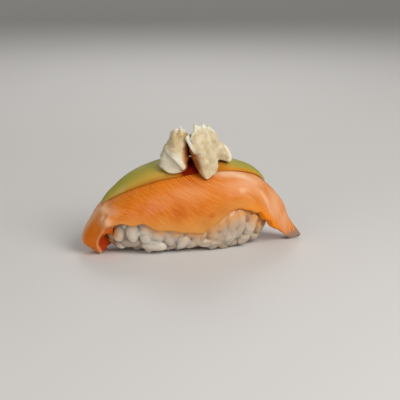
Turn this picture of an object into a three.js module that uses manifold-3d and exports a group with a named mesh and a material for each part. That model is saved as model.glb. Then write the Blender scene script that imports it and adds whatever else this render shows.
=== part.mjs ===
// Salmon nigiri: a hand-pressed block of sushi rice, a slice of raw salmon draped over it from end to end, a wedge
// slice of avocado along the top, and two gathered slices of pickled ginger that lean together over the middle.
//
// Units are millimetres and +Z is up. The nigiri lies along X on the plane z = 0, its origin is the middle of its
// footprint, and its front, the side where more rice shows, faces -Y.
//
// Everything is worked out from the salmon's outer surface, fish(u, s): u runs along the slice from the end curled
// under at -X to the free tip at +X, and s runs across it from the front hem at -1 over the ridge at 0 to the back
// hem at 1. The rice fills the space under it, and the avocado and ginger are fitted on top of it.
import * as THREE from 'three';
import { mergeVertices } from 'three/addons/utils/BufferGeometryUtils.js';
import Module from 'manifold-3d';

const wasm = await Module();
wasm.setup();

// ---------------------------------------------------------------------------------------------- driving dimensions

// Stations of the salmon slice from the curled end to the free tip. Each has the ridge's x and z, then the front
// hem's x, y and z.
const STATIONS = [
  [-34.0, 0.3, -32.8, -4.8, 0.1],
  [-38.6, 4.8, -34.3, -7.9, 4.2],
  [-35.1, 12.0, -33.3, -10.4, 9.4],
  [-30.4, 17.3, -28.4, -12.5, 11.4],
  [-21.5, 22.0, -20.5, -13.0, 10.9],
  [-11.0, 25.2, -11.0, -13.2, 7.6],
  [1.0, 26.7, 1.0, -13.2, 7.4],
  [12.0, 26.6, 10.5, -13.0, 12.6],
  [21.0, 24.6, 18.2, -12.5, 13.6],
  [26.3, 20.3, 22.8, -11.2, 9.3],
  [31.8, 14.0, 26.6, -9.2, 5.9],
  [34.6, 7.1, 30.0, -6.8, 3.3],
  [38.8, 1.1, 33.8, -4.6, 0.2],
];
const RIDGE_Y = { body: -1, tip: -3 }; // the ridge bends towards the front at the free tip
const TAIL_FROM = 0.72; // the share of the length where the free tail begins
// The back hem mirrors the front one, pulled in at the curled end, with a wave of its own.
const BACK_HEM = { shift: 0.6, corner: 3.2, wave: 1.6, waves: 2.5, tail: 1.6 };
const ARCH_POWER = 2.6; // how square the slice's arch is across the rice: 2 is an ellipse
// The arch's angle at the hem, in radians from the ridge: at the very end that curls under, at both ends and between.
const ARCH_END = { curled: 0.4, ends: 0.86, middle: 1.22 };
// The slice's thickness: along the ridge at its curled end and beyond, and at the hems of its tail and its tip.
const SLICE = { curled: 6.0, ridge: 4.6, tail: 2.8, tip: 1.7, power: 2.2 };
// Thickness of the hem at the curled end, from the very end to the place along the slice where it is thin.
const CURLED_HEM = { to: 0.3, thick: [[5.0], [6.8], [7.2], [5.6], [3.0], [1.2]] };

const GAP = 0.3; // clearance between pieces that rest on each other
const COVER = 9; // how far above the salmon the rice is cut away
const RIM = { u: 0.005, s: 0.016 }; // the same clearance round the slice's rim, as shares of its length and half width

// The rice block: a flattened loaf, cut flat where it stands.
const RICE = { middle: [-2.3, -0.6, 10.0], half: [27.9, 11.0, 11.8], planPower: 2.7, sidePower: 2.8 };
const TOP_RING = 0.97; // the height of the block's last ring, as a share of its upper half
const GRAIN = { length: 7.0, width: 3.7, sides: 5, rings: 3 };
const GRAIN_ROWS = { first: 1.9, pitch: 3.7, count: 5, spacing: 4.6, sunk: 0.35, jitter: 0.8 };

// The avocado wedge lies along the salmon between two shares of its length. Its front and back edges are given at
// mid length by their place across the salmon, and both run in to `ends` at its tips. `bow` and `runOut` say how soon
// its width and its thickness run out at the left and right tip.
const AVOCADO = {
  from: 0.235,
  to: 0.73,
  front: -0.3,
  back: 0.52,
  ends: [0.02, -0.3],
  frontEdge: 0.8,
  backEdge: 6.3,
  tipLift: 0.2,
  bow: [0.45, 0.5],
  runOut: [1.1, 0.75],
};

// The ginger slices are gathered at the top and hang open like skirts. Each rib of a slice, from the edge by the
// hollow round the front to the back, runs down from the crown to the lower border through four points x, y, z. Teeth
// stand up along the crown: place across the ribs, height and half width.
const GINGER_LEFT = {
  ribs: [
    [[-2.7, -3.0, 39.1], [-2.5, -2.9, 36.1], [-2.7, -3.5, 32.3], [-3.2, -4.6, 28.2]],
    [[-3.1, -4.3, 40.3], [-3.1, -4.3, 36.8], [-3.2, -4.9, 32.4], [-3.7, -5.9, 27.2]],
    [[-4.4, -5.4, 41.4], [-4.7, -5.6, 37.5], [-4.9, -5.8, 32.7], [-5.2, -5.9, 26.8]],
    [[-5.5, -5.7, 41.4], [-6.1, -6.1, 37.6], [-6.7, -6.1, 32.7], [-7.1, -6.1, 26.5]],
    [[-6.6, -5.2, 41.5], [-7.5, -5.5, 37.4], [-8.5, -5.4, 32.7], [-9.1, -5.6, 26.6]],
    [[-7.6, -4.7, 41.0], [-8.3, -4.6, 37.2], [-9.9, -4.4, 33.3], [-10.7, -4.4, 27.6]],
    [[-8.1, -3.9, 39.8], [-8.7, -3.5, 36.9], [-10.2, -3.0, 33.8], [-11.4, -2.9, 28.2]],
    [[-6.8, -3.1, 39.6], [-8.2, -2.4, 36.6], [-9.9, -0.8, 32.4], [-9.8, 0.6, 27.6]],
    [[-4.4, -3.0, 39.4], [-4.4, -2.5, 36.4], [-4.3, -1.9, 32.4], [-3.8, -1.1, 27.6]],
  ],
  pleats: 4,
  pleatDepth: 0.35,
  teeth: [
    [0.34, 1.6, 0.07],
    [0.53, 0.5, 0.08],
    [0.9, 0.7, 0.06],
  ],
};
const GINGER_RIGHT = {
  ribs: [
    [[-2.7, -5.6, 38.7], [-2.1, -5.9, 36.3], [-1.2, -5.6, 32.5], [0.4, -6.2, 27.2]],
    [[-3.4, -6.6, 39.1], [-1.8, -7.8, 35.8], [0.6, -8.1, 32.0], [2.6, -8.6, 24.6]],
    [[-1.3, -6.5, 40.6], [-0.2, -7.9, 36.6], [1.8, -8.4, 31.6], [3.5, -8.7, 24.6]],
    [[-0.6, -6.0, 41.8], [1.2, -7.8, 37.0], [3.1, -8.4, 31.0], [4.7, -8.1, 25.2]],
    [[1.8, -5.8, 41.6], [3.4, -7.5, 37.1], [5.1, -7.9, 31.1], [6.1, -7.4, 25.9]],
    [[3.4, -5.5, 41.2], [5.0, -6.8, 36.8], [6.5, -6.6, 31.6], [7.1, -6.1, 27.5]],
    [[4.6, -5.2, 41.3], [6.3, -5.7, 36.6], [7.7, -4.8, 32.8], [8.2, -3.6, 29.6]],
    [[5.6, -4.8, 40.6], [7.3, -4.8, 36.7], [9.5, -4.5, 32.9], [10.7, -3.6, 29.2]],
    [[6.1, -4.2, 39.6], [7.5, -4.0, 36.8], [11.1, -3.9, 33.3], [12.1, -3.4, 28.8]],
    [[5.7, -3.2, 39.8], [7.4, -2.2, 36.6], [11.0, -0.8, 32.4], [11.9, 3.6, 30.2]],
    [[2.8, -2.4, 40.2], [4.4, -0.9, 36.0], [5.4, 0.3, 32.2], [5.9, 6.2, 30.4]],
    [[-1.4, -2.3, 38.8], [-2.4, -1.0, 35.8], [-3.2, 0.3, 32.0], [-3.8, 5.6, 29.9]],
  ],
  pleats: 5,
  pleatDepth: 0.3,
  teeth: [
    [0.137, -2.4, 0.045],
    [0.275, 1.3, 0.07],
    [0.385, 1.5, 0.07],
    [0.53, 0.9, 0.08],
    [0.86, 0.8, 0.05],
  ],
};
const GINGER_THICK = 1.15;
const GINGER_STEPS = { down: 9, across: 40 };

const SHORTEST_EDGE = 0.12; // slivers that a cut leaves are shorter than this
const ORIGIN_SHIFT = [-0.1, 0.8, 0]; // brings the middle of the footprint to the origin

// ------------------------------------------------------------------------------------------------------ small tools

const lerp = THREE.MathUtils.lerp;
const smooth = THREE.MathUtils.smoothstep;

// A uniform Catmull-Rom curve through the rows of a table, at t from 0 to 1.
function along(table, t) {
  const last = table.length - 1;
  const i = Math.max(0, Math.min(Math.floor(t * last), last - 1));
  const f = t * last - i;
  const at = (k) => table[k] ?? table[k < 0 ? 0 : last].map((v, j) => 2 * v - table[k < 0 ? 1 : last - 1][j]);
  const [a, b, c, d] = [at(i - 1), at(i), at(i + 1), at(i + 2)];
  return b.map(
    (v, j) =>
      v +
      0.5 * f * (c[j] - a[j] + f * (2 * a[j] - 5 * v + 4 * c[j] - d[j] + f * (3 * (v - c[j]) + d[j] - a[j]))),
  );
}

// A repeatable stream of numbers from 0 to 1.
function stream(seed) {
  let state = seed;
  return () => {
    state = (state * 16807) % 2147483647;
    return state / 2147483647;
  };
}

// The closed mesh between two grids of points that have the same rows and columns.
function slab(outer, inner) {
  const rows = outer.length;
  const columns = outer[0].length;
  const size = rows * columns;
  const position = [...outer.flat(), ...inner.flat()].flatMap((p) => [p.x, p.y, p.z]);
  const index = [];
  const quad = (a, b, c, d) => index.push(a, b, c, a, c, d);
  for (let i = 0; i < rows - 1; i++)
    for (let j = 0; j < columns - 1; j++) {
      const a = i * columns + j;
      const [b, c, d] = [a + columns, a + columns + 1, a + 1];
      quad(a, b, c, d);
      quad(size + a, size + d, size + c, size + b);
    }
  const rim = [];
  for (let j = 0; j < columns - 1; j++) rim.push(j);
  for (let i = 0; i < rows - 1; i++) rim.push(i * columns + columns - 1);
  for (let j = columns - 1; j > 0; j--) rim.push((rows - 1) * columns + j);
  for (let i = rows - 1; i > 0; i--) rim.push(i * columns);
  rim.forEach((a, k) => {
    const b = rim[(k + 1) % rim.length];
    quad(a, b, size + b, size + a);
  });
  const geometry = new THREE.BufferGeometry();
  geometry.setAttribute('position', new THREE.Float32BufferAttribute(position, 3));
  geometry.setIndex(index);
  return geometry;
}

// A grid of points of a surface (u, s) -> Vector3.
function grid(surface, us, ss) {
  return us.map((u) => ss.map((s) => surface(u, s)));
}

// `count` + 1 even steps from a to b.
function steps(a, b, count) {
  return Array.from({ length: count + 1 }, (_, i) => a + ((b - a) * i) / count);
}

function solidOf(geometry) {
  const bare = new THREE.BufferGeometry().setAttribute('position', geometry.getAttribute('position'));
  bare.setIndex(geometry.index);
  const merged = mergeVertices(bare, 1e-4);
  const solid = new wasm.Manifold(
    new wasm.Mesh({
      numProp: 3,
      vertProperties: merged.attributes.position.array,
      triVerts: new Uint32Array(merged.index.array),
    }),
  );
  if (solid.volume() > 0) return solid;
  const flipped = merged.index.array;
  for (let i = 0; i < flipped.length; i += 3) [flipped[i + 1], flipped[i + 2]] = [flipped[i + 2], flipped[i + 1]];
  return new wasm.Manifold(
    new wasm.Mesh({
      numProp: 3,
      vertProperties: merged.attributes.position.array,
      triVerts: new Uint32Array(flipped),
    }),
  );
}

function geometryOf(solid) {
  const { vertProperties, triVerts } = solid.getMesh();
  const geometry = new THREE.BufferGeometry();
  geometry.setAttribute('position', new THREE.BufferAttribute(new Float32Array(vertProperties), 3));
  geometry.setIndex(new THREE.BufferAttribute(new Uint32Array(triVerts), 1));
  geometry.computeVertexNormals();
  return geometry;
}

// A solid in which each edge shorter than `shortest` has shrunk to a point: cuts leave many such slivers. An edge
// shrinks only where its ends share two neighbours and no more, so that the surface stays closed and unpinched.
function withoutSlivers(solid, shortest) {
  const { vertProperties, triVerts } = solid.getMesh();
  const point = (i) => new THREE.Vector3().fromArray(vertProperties, 3 * i);
  const facesAt = Array.from({ length: vertProperties.length / 3 }, () => new Set());
  const faces = [];
  for (let i = 0; i < triVerts.length; i += 3) faces.push([...triVerts.subarray(i, i + 3)]);
  for (const face of faces) face.forEach((v) => facesAt[v].add(face));
  const around = (v) => new Set([...facesAt[v]].flat().filter((w) => w !== v));
  const shrink = (keep, drop) => {
    for (const face of [...facesAt[drop]]) {
      if (face.includes(keep)) face.forEach((v) => facesAt[v].delete(face));
      else {
        face[face.indexOf(drop)] = keep;
        facesAt[keep].add(face);
      }
    }
    facesAt[drop].clear();
  };
  for (const face of faces)
    for (const [a, b] of [[0, 1], [1, 2], [2, 0]]) {
      const [keep, drop] = [face[a], face[b]];
      if (!facesAt[keep].has(face) || point(keep).distanceTo(point(drop)) >= shortest) continue;
      const others = around(drop);
      if ([...around(keep)].filter((v) => others.has(v)).length === 2) shrink(keep, drop);
    }
  const left = faces.filter((face) => facesAt[face[0]].has(face));
  const geometry = new THREE.BufferGeometry();
  geometry.setAttribute('position', new THREE.BufferAttribute(new Float32Array(vertProperties), 3));
  geometry.setIndex(left.flat());
  return largest(solidOf(geometry));
}

// The largest body of a solid, without the scraps that a cut leaves.
function largest(solid) {
  return solid.decompose().reduce((a, b) => (a.volume() >= b.volume() ? a : b));
}

// ----------------------------------------------------------------------------------------------------- salmon slice

// A point of the salmon's outer surface. Across the slice the section is a superelliptic arch from ridge to hem.
function fish(u, s) {
  const [ridgeX, ridgeZ, frontX, frontY, frontZ] = along(STATIONS, u);
  const tail = smooth(u, TAIL_FROM, 1);
  const ridgeY = lerp(RIDGE_Y.body, RIDGE_Y.tip, tail);
  const end = lerp(
    lerp(ARCH_END.curled, ARCH_END.ends, smooth(u, 0.12, 0.25)),
    ARCH_END.middle,
    smooth(u, 0.1, 0.28) * (1 - smooth(u, 0.52, 0.72)),
  );
  const radius = (a) => (Math.cos(a) ** ARCH_POWER + Math.sin(a) ** ARCH_POWER) ** (-1 / ARCH_POWER);
  const angle = Math.abs(s) * end;
  const out = (radius(angle) * Math.sin(angle)) / (radius(end) * Math.sin(end));
  const down = (1 - radius(angle) * Math.cos(angle)) / (1 - radius(end) * Math.cos(end));
  const hem = [frontX, frontY, frontZ];
  if (s > 0) {
    hem[0] += BACK_HEM.shift + BACK_HEM.corner * (1 - smooth(u, 0.08, 0.35));
    hem[1] = 2 * ridgeY - frontY + BACK_HEM.tail * tail;
    hem[2] += BACK_HEM.wave * Math.sin(Math.PI * BACK_HEM.waves * u) * Math.sin(Math.PI * u);
  }
  return new THREE.Vector3(
    lerp(ridgeX, hem[0], out * out),
    lerp(ridgeY, hem[1], out),
    lerp(ridgeZ, hem[2], down),
  );
}

// The outward unit normal of the salmon's outer surface, from a small step each way.
function fishNormal(u, s) {
  const h = 1e-3;
  const alongSlice = fish(u + h, s).sub(fish(u - h, s));
  const across = fish(u, s + h).sub(fish(u, s - h));
  return alongSlice.cross(across).normalize();
}

// The slice is thickest at the ridge and feathers out to its hems, which stay thick at both ends.
function fishThickness(u, s) {
  const [curled] = along(CURLED_HEM.thick, THREE.MathUtils.clamp(u / CURLED_HEM.to, 0, 1));
  const hem = lerp(lerp(curled, SLICE.tail, smooth(u, 0.56, 0.7)), SLICE.tip, smooth(u, 0.8, 1));
  const ridge = lerp(lerp(SLICE.curled, SLICE.ridge, smooth(u, 0.12, 0.26)), SLICE.tip, smooth(u, 0.7, 1));
  return lerp(ridge, hem, Math.abs(s) ** SLICE.power);
}

// The slice with its outer face pushed out by `outward`, its inner face pushed in by `inward`, and its rim moved out
// by the shares `rim` of its length and half width.
function fishSolid(outward, inward, rim) {
  const us = steps(0, 1, 34);
  const ss = steps(-1, 1, 18);
  if (rim) {
    us.unshift(-rim.u);
    us.push(1 + rim.u);
    ss.unshift(-1 - rim.s);
    ss.push(1 + rim.s);
  }
  const offset = (distance) => (u, s) => fish(u, s).addScaledVector(fishNormal(u, s), distance(u, s));
  return solidOf(
    slab(
      grid(offset(() => outward), us, ss),
      grid(offset((u, s) => -fishThickness(u, s) - inward), us, ss),
    ),
  );
}

// ------------------------------------------------------------------------------------------------------- rice block

// A point of the bare rice block in the plan direction `turn`, at the height z.
function ricePoint(turn, z) {
  const [a, b, c] = RICE.half;
  const rise = Math.min(Math.abs(z - RICE.middle[2]) / c, 1);
  const level = (1 - rise ** RICE.sidePower) ** (1 / RICE.sidePower);
  const [cos, sin] = [Math.cos(turn), Math.sin(turn)];
  const radius = ((Math.abs(cos) / a) ** RICE.planPower + (Math.abs(sin) / b) ** RICE.planPower) ** (-1 / RICE.planPower);
  return new THREE.Vector3(RICE.middle[0] + radius * level * cos, RICE.middle[1] + radius * level * sin, z);
}

// The bare block as a lathe-like stack of superelliptic rings.
function riceCore() {
  const turns = 26;
  const [x, y, middle] = RICE.middle;
  const heights = steps(0, middle + RICE.half[2] * TOP_RING, 7);
  const position = [];
  for (const z of heights)
    for (let j = 0; j < turns; j++) position.push(...ricePoint((2 * Math.PI * j) / turns, z).toArray());
  const top = position.length / 3;
  position.push(x, y, middle + RICE.half[2], x, y, 0);
  const index = [];
  for (let j = 0; j < turns; j++) {
    const k = (j + 1) % turns;
    for (let i = 0; i < heights.length - 1; i++) {
      const [a, b, c, d] = [i * turns + j, i * turns + k, (i + 1) * turns + k, (i + 1) * turns + j];
      index.push(a, b, c, a, c, d);
    }
    const crown = (heights.length - 1) * turns;
    index.push(crown + j, crown + k, top, k, j, top + 1);
  }
  const geometry = new THREE.BufferGeometry();
  geometry.setAttribute('position', new THREE.Float32BufferAttribute(position, 3));
  geometry.setIndex(index);
  return solidOf(geometry);
}

// One grain: a spindle with blunt ends, its length along Y.
function grainGeometry() {
  const profile = [new THREE.Vector2(0, -GRAIN.length / 2)];
  for (let i = 1; i <= GRAIN.rings; i++) {
    const t = (Math.PI * i) / (GRAIN.rings + 1);
    profile.push(new THREE.Vector2((GRAIN.width / 2) * Math.sin(t) ** 0.7, (-GRAIN.length / 2) * Math.cos(t)));
  }
  profile.push(new THREE.Vector2(0, GRAIN.length / 2));
  return new THREE.LatheGeometry(profile, GRAIN.sides);
}

// The grains that show: rows round the block, one above the other, each grain lying in the block's skin at its own
// slant and half sunk in it.
function riceGrains() {
  const random = stream(2027);
  const grain = grainGeometry();
  const girth = OUTLINE.lengths[OUTLINE.lengths.length - 1];
  const perRow = Math.round(girth / GRAIN_ROWS.spacing);
  const solids = [];
  for (let row = 0; row < GRAIN_ROWS.count; row++)
    for (let k = 0; k < perRow; k++) {
      const [r1, r2, r3, r4, r5] = [random(), random(), random(), random(), random()];
      const turn = turnAt((k + 0.5 * (row % 2) + 0.35 * (r1 - 0.5)) / perRow);
      const z = GRAIN_ROWS.first + row * GRAIN_ROWS.pitch + GRAIN_ROWS.jitter * (r2 - 0.5);
      const point = ricePoint(turn, z);
      const around = ricePoint(turn + 0.01, z).sub(ricePoint(turn - 0.01, z)).normalize();
      const up = ricePoint(turn, z + 0.1).sub(ricePoint(turn, z - 0.1)).normalize();
      const out = around.clone().cross(up).normalize();
      const slant = Math.PI * (r3 - 0.5) * (row === 0 ? 1.3 : 0.9) + (row === 0 ? Math.PI / 2 : 0.2);
      const axis = up.clone().multiplyScalar(Math.cos(slant)).addScaledVector(around, Math.sin(slant));
      axis.addScaledVector(out, 0.3 * (r4 - 0.5)).normalize();
      const side = axis.clone().cross(out).normalize();
      const face = side.clone().cross(axis).normalize();
      const scale = 0.88 + 0.24 * r5;
      const matrix = new THREE.Matrix4().makeBasis(
        side.multiplyScalar(scale),
        axis.multiplyScalar(scale),
        face.multiplyScalar(scale * 0.9),
      );
      matrix.setPosition(point.addScaledVector(out, -GRAIN_ROWS.sunk));
      solids.push(solidOf(grain.clone().applyMatrix4(matrix)));
    }
  return solids;
}

// The plan direction that lies a share t of the way round the block, with even steps along its outline.
const OUTLINE = (() => {
  const turns = steps(0, 2 * Math.PI, 360);
  const level = RICE.middle[2];
  const lengths = [0];
  for (let i = 1; i < turns.length; i++)
    lengths.push(lengths[i - 1] + ricePoint(turns[i], level).distanceTo(ricePoint(turns[i - 1], level)));
  return { turns, lengths };
})();
function turnAt(t) {
  const { turns, lengths } = OUTLINE;
  const wanted = (t - Math.floor(t)) * lengths[lengths.length - 1];
  const i = lengths.findIndex((length) => length >= wanted);
  if (i <= 0) return 0;
  return lerp(turns[i - 1], turns[i], (wanted - lengths[i - 1]) / (lengths[i] - lengths[i - 1]));
}

// A box wide enough to cut away all that lies below z = 0.
function floorBlock() {
  const deep = new THREE.BoxGeometry(120, 60, 20);
  deep.translate(0, 0, -10);
  return solidOf(deep);
}

function riceSolid() {
  const whole = riceGrains().reduce((sum, grain) => sum.add(grain), riceCore());
  const cover = fishSolid(COVER, GAP, RIM);
  return largest(whole.subtract(floorBlock()).subtract(cover));
}

// ---------------------------------------------------------------------------------------------------- avocado wedge

// The wedge lies on the salmon: thin at its front edge, thick at its back edge, and pointed at both ends.
function avocadoSolid() {
  const { from, to, front, back, ends, frontEdge, backEdge, tipLift, bow, runOut } = AVOCADO;
  // The wedge at t along it and w across it, lifted by `height` shares of its thickness.
  const wedge = (t, w, height) => {
    const wide = Math.sin(Math.PI * t) ** lerp(...bow, t);
    const tip = lerp(ends[0], ends[1], t);
    const u = lerp(from, to, t);
    const s = lerp(lerp(tip, front, wide), lerp(tip, back, wide), w);
    const rounding = (1 - 0.35 * smooth(w, 0.84, 1)) * (0.55 + 0.45 * smooth(w, 0, 0.12));
    const taper = Math.sin(Math.PI * t) ** lerp(...runOut, t) * (1 - 0.45 * smooth(t, 0.5, 0.85));
    const thick = lerp(frontEdge, backEdge, w ** 0.9) * taper * rounding;
    const lift = GAP + tipLift * smooth(t, 0.8, 1) ** 1.4;
    return fish(u, s).addScaledVector(fishNormal(u, s), lift + height * thick);
  };
  const ts = steps(0.012, 0.988, 22);
  const ws = [0, 0.06, 0.2, 0.4, 0.6, 0.8, 0.93, 1];
  return solidOf(slab(grid((t, w) => wedge(t, w, 1), ts, ws), grid((t, w) => wedge(t, w, 0), ts, ws)));
}

// --------------------------------------------------------------------------------------------------- ginger slices

// A point of a ginger slice's middle surface: v runs down from the crown and w across the ribs. Pleats are waves of
// depth that fade away down the slice, and each tooth is a peak with straight sides that sinks away below the crown.
function gingerPoint({ ribs, pleats, pleatDepth, teeth }, v, w) {
  const point = along(ribs.map((rib) => along(rib, v)), w);
  const wave = Math.cos(2 * Math.PI * pleats * w);
  const crown = 1 - v;
  point[1] -= pleatDepth * wave * (0.3 + 0.7 * crown);
  for (const [place, height, reach] of teeth)
    point[2] += height * Math.max(1 - Math.abs(w - place) / reach, 0) * crown ** 4;
  return new THREE.Vector3(...point);
}

function gingerSolid(slice, neighbours) {
  const normal = (v, w) => {
    const h = 1e-3;
    const down = gingerPoint(slice, v + h, w).sub(gingerPoint(slice, v - h, w));
    const across = gingerPoint(slice, v, w + h).sub(gingerPoint(slice, v, w - h));
    return down.cross(across).normalize();
  };
  const face = (half) => (v, w) => gingerPoint(slice, v, w).addScaledVector(normal(v, w), half);
  const vs = steps(0, 1, GINGER_STEPS.down);
  const ws = steps(0, 1, GINGER_STEPS.across);
  const sheet = solidOf(slab(grid(face(GINGER_THICK / 2), vs, ws), grid(face(-GINGER_THICK / 2), vs, ws)));
  return largest(neighbours.reduce((solid, other) => solid.subtract(other), sheet));
}

// --------------------------------------------------------------------------------------------------------- assembly

const MATERIALS = {
  rice: new THREE.MeshStandardMaterial({ color: 0xe8dccb, roughness: 0.5, metalness: 0 }),
  salmon: new THREE.MeshStandardMaterial({ color: 0xe58a45, roughness: 0.35, metalness: 0 }),
  avocado: new THREE.MeshStandardMaterial({ color: 0xb4a552, roughness: 0.4, metalness: 0 }),
  ginger: new THREE.MeshStandardMaterial({ color: 0xe3d3a6, roughness: 0.45, metalness: 0 }),
};

const nigiri = new THREE.Group();
function addPiece(name, solid, material) {
  const mesh = new THREE.Mesh(geometryOf(withoutSlivers(solid, SHORTEST_EDGE)), MATERIALS[material]);
  mesh.name = name;
  nigiri.add(mesh);
  return solid;
}

// A little room round a flat thing, by moving it each way along Y and Z.
function grown(solid, room) {
  return [[0, room, 0], [0, -room, 0], [0, 0, room], [room, 0, 0], [-room, 0, 0]].reduce(
    (sum, way) => sum.add(solid.translate(way)),
    solid,
  );
}

addPiece('salmon_slice', fishSolid(0, 0), 'salmon');
const avocado = addPiece('avocado_slice', avocadoSolid(), 'avocado');
addPiece('rice', riceSolid(), 'rice');
const below = [fishSolid(GAP, 0, RIM), grown(avocado, GAP)];
const ginger = addPiece('ginger_left', gingerSolid(GINGER_LEFT, below), 'ginger');
addPiece('ginger_right', gingerSolid(GINGER_RIGHT, [...below, grown(ginger, GAP)]), 'ginger');
nigiri.position.fromArray(ORIGIN_SHIFT);

export default nigiri;
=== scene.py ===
"""Salmon nigiri: the looks of its rice, salmon, avocado and pickled ginger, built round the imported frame.

Shapes are worked out in millimetres, with X along the nigiri, its front facing -Y and Z up. Surfaces are
functions of two parameters, worked out as whole arrays, and `finished_piece` brings them to metres in the
frame's own place.
"""

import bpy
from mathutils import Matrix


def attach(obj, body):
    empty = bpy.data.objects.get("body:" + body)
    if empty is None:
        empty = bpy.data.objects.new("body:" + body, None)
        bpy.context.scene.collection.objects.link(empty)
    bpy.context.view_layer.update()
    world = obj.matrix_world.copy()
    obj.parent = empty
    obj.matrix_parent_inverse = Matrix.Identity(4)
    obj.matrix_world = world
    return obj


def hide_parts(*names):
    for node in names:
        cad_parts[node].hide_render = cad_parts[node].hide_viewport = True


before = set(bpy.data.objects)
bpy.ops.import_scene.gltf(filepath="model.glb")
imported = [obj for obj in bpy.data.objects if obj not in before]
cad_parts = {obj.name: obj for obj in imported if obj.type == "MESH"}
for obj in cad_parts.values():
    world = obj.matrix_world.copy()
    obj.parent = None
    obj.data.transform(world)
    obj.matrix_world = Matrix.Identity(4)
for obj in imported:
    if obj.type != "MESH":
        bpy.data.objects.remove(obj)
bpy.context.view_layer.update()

import bpy
import numpy as np
from mathutils import Vector

bl_info = {
    "name": "Salmon nigiri",
    "version": (1, 0, 0),
    "blender": (4, 5, 0),
    "location": "3D View > Sidebar > Nigiri",
    "description": "Builds a salmon nigiri with avocado and pickled ginger",
    "category": "Add Mesh",
}

MM = 0.001
ORIGIN_SHIFT = np.array([-0.1, 0.8, 0.0])  # from the formulas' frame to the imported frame
GAP = 0.3  # clearance of the ginger over what it lies on
LATTICE = 32  # corners of the noise lattice each way, after which it repeats

# --------------------------------------------------------------------------------------- shared mathematics


def smooth(x, low, high):
    """0 below `low`, 1 above `high`, and a smooth step between."""
    t = np.clip((x - low) / (high - low), 0, 1)
    return t * t * (3 - 2 * t)


def lerp(a, b, t):
    """The point a share t of the way from a to b."""
    return a + (b - a) * t


def hump(x, middle, reach):
    """1 at `middle`, falling off as a bell curve with the half width `reach`."""
    return np.exp(-(((x - middle) / reach) ** 2))


def window(x, low, full, fade, end):
    """1 from `full` to `fade`, falling smoothly to 0 at `low` on one side and at `end` on the other."""
    return smooth(x, low, full) * (1 - smooth(x, fade, end))


def superellipse(turn, power, a=1.0, b=1.0):
    """How far a superellipse with the half widths a and b reaches in the direction `turn`."""
    return ((np.abs(np.cos(turn)) / a) ** power + (np.abs(np.sin(turn)) / b) ** power) ** (-1 / power)


def length_along(points, axis=0):
    """Distance along rows of points from the first one: the running sum of the steps between them."""
    steps = np.linalg.norm(np.diff(points, axis=axis), axis=-1)
    start = np.zeros_like(np.take(steps, [0], axis=axis))
    return np.concatenate([start, np.cumsum(steps, axis=axis)], axis=axis)


def ramp(length, count, slope):
    """Places from 0 to `length`, and a value that grows along them by the slope given at each."""
    place = np.linspace(0, length, count)
    return place, np.cumsum(slope(place)) * (place[1] - place[0])


def curve_weights(count, t):
    """Weights of `count` rows on a uniform Catmull-Rom curve at t from 0 to 1, its end rows reflected."""
    place = np.asarray(t, float) * (count - 1)
    i = np.clip(np.floor(place).astype(int), 0, count - 2)
    f = place - i
    four = 0.5 * np.stack(
        [-f + 2 * f**2 - f**3, 2 - 5 * f**2 + 3 * f**3, f + 4 * f**2 - 3 * f**3, f**3 - f**2], -1
    )
    padded = np.zeros(place.shape + (count + 2,))
    np.put_along_axis(padded, i[..., None] + np.arange(4), four, -1)
    weights = padded[..., 1:-1].copy()
    for end, inner, outside in ((0, 1, 0), (-1, -2, -1)):
        weights[..., end] += 2 * padded[..., outside]
        weights[..., inner] -= padded[..., outside]
    return weights


def cloudy(points, size, seed):
    """Smooth noise from -1 to 1: seeded values on a lattice `size` apart, blended between its corners."""
    table = np.random.default_rng(seed).uniform(-1, 1, (LATTICE, LATTICE, LATTICE))
    place = np.asarray(points, float) / size
    cell = np.floor(place).astype(int)
    f = place - cell
    f = f * f * (3 - 2 * f)
    total = np.zeros(place.shape[:-1])
    for corner in np.ndindex(2, 2, 2):
        share = np.prod(np.where(corner, f, 1 - f), -1)
        total += share * table[tuple(np.moveaxis((cell + corner) % LATTICE, -1, 0))]
    return total


def cloudy_shift(points, size, seed):
    """Smooth noise as a vector, each of its three parts with a seed of its own from `seed` on."""
    return np.stack([cloudy(points, size, seed + k) for k in range(3)], -1)


def unit(vectors):
    """The vectors at length 1."""
    return vectors / np.maximum(np.linalg.norm(vectors, axis=-1, keepdims=True), 1e-12)


def normal_of(surface, a, b, step=1e-3):
    """Unit normals of surface(a, b): the cross product of its changes over a small step of a and of b."""
    along = surface(a + step, b) - surface(a - step, b)
    across = surface(a, b + step) - surface(a, b - step)
    return unit(np.cross(along, across))


def nearest(points, samples, batch=3000):
    """For each point, the number of the nearest sample, worked out about `batch` points at a time."""
    flat = points.reshape(-1, 3)
    squares = (samples**2).sum(-1)
    parts = [
        np.argmin(squares - 2 * part @ samples.T, axis=1)
        for part in np.array_split(flat, len(flat) // batch + 1)
    ]
    return np.concatenate(parts).reshape(points.shape[:-1])


# -------------------------------------------------------------------------------------------- shared meshes


def rim_steps(rim, inside, rows, power):
    """Steps from 0 to 1 and the share of the full thickness at each.

    At both ends `rows` close steps follow a superellipse over the width `rim`, so the thickness grows from
    nothing at the very edge to all of it where the rim ends. `inside` even steps fill the rest.
    """
    angle = np.linspace(0, np.pi / 2, rows + 1)
    edge = rim * (1 - np.cos(angle) ** (2 / power))
    full = np.sin(angle) ** (2 / power)
    middle = np.linspace(rim, 1 - rim, inside + 1)[1:-1]
    place = np.concatenate([edge, middle, (1 - edge)[::-1]])
    share = np.concatenate([full, np.ones(len(middle)), full[::-1]])
    return place, share


# Steps along each sheet and across it: width of the rounded rim, steps inside, rows in the rim and its power.
SHEET_STEPS = {
    "salmon": ((0.008, 250, 7, 2.6), (0.016, 118, 7, 2.6)),
    "avocado": ((0.012, 150, 6, 2.0), (0.07, 56, 9, 3.4)),
    "ginger": ((0.03, 96, 6, 2.0), (0.012, 220, 6, 2.0)),
}


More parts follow.
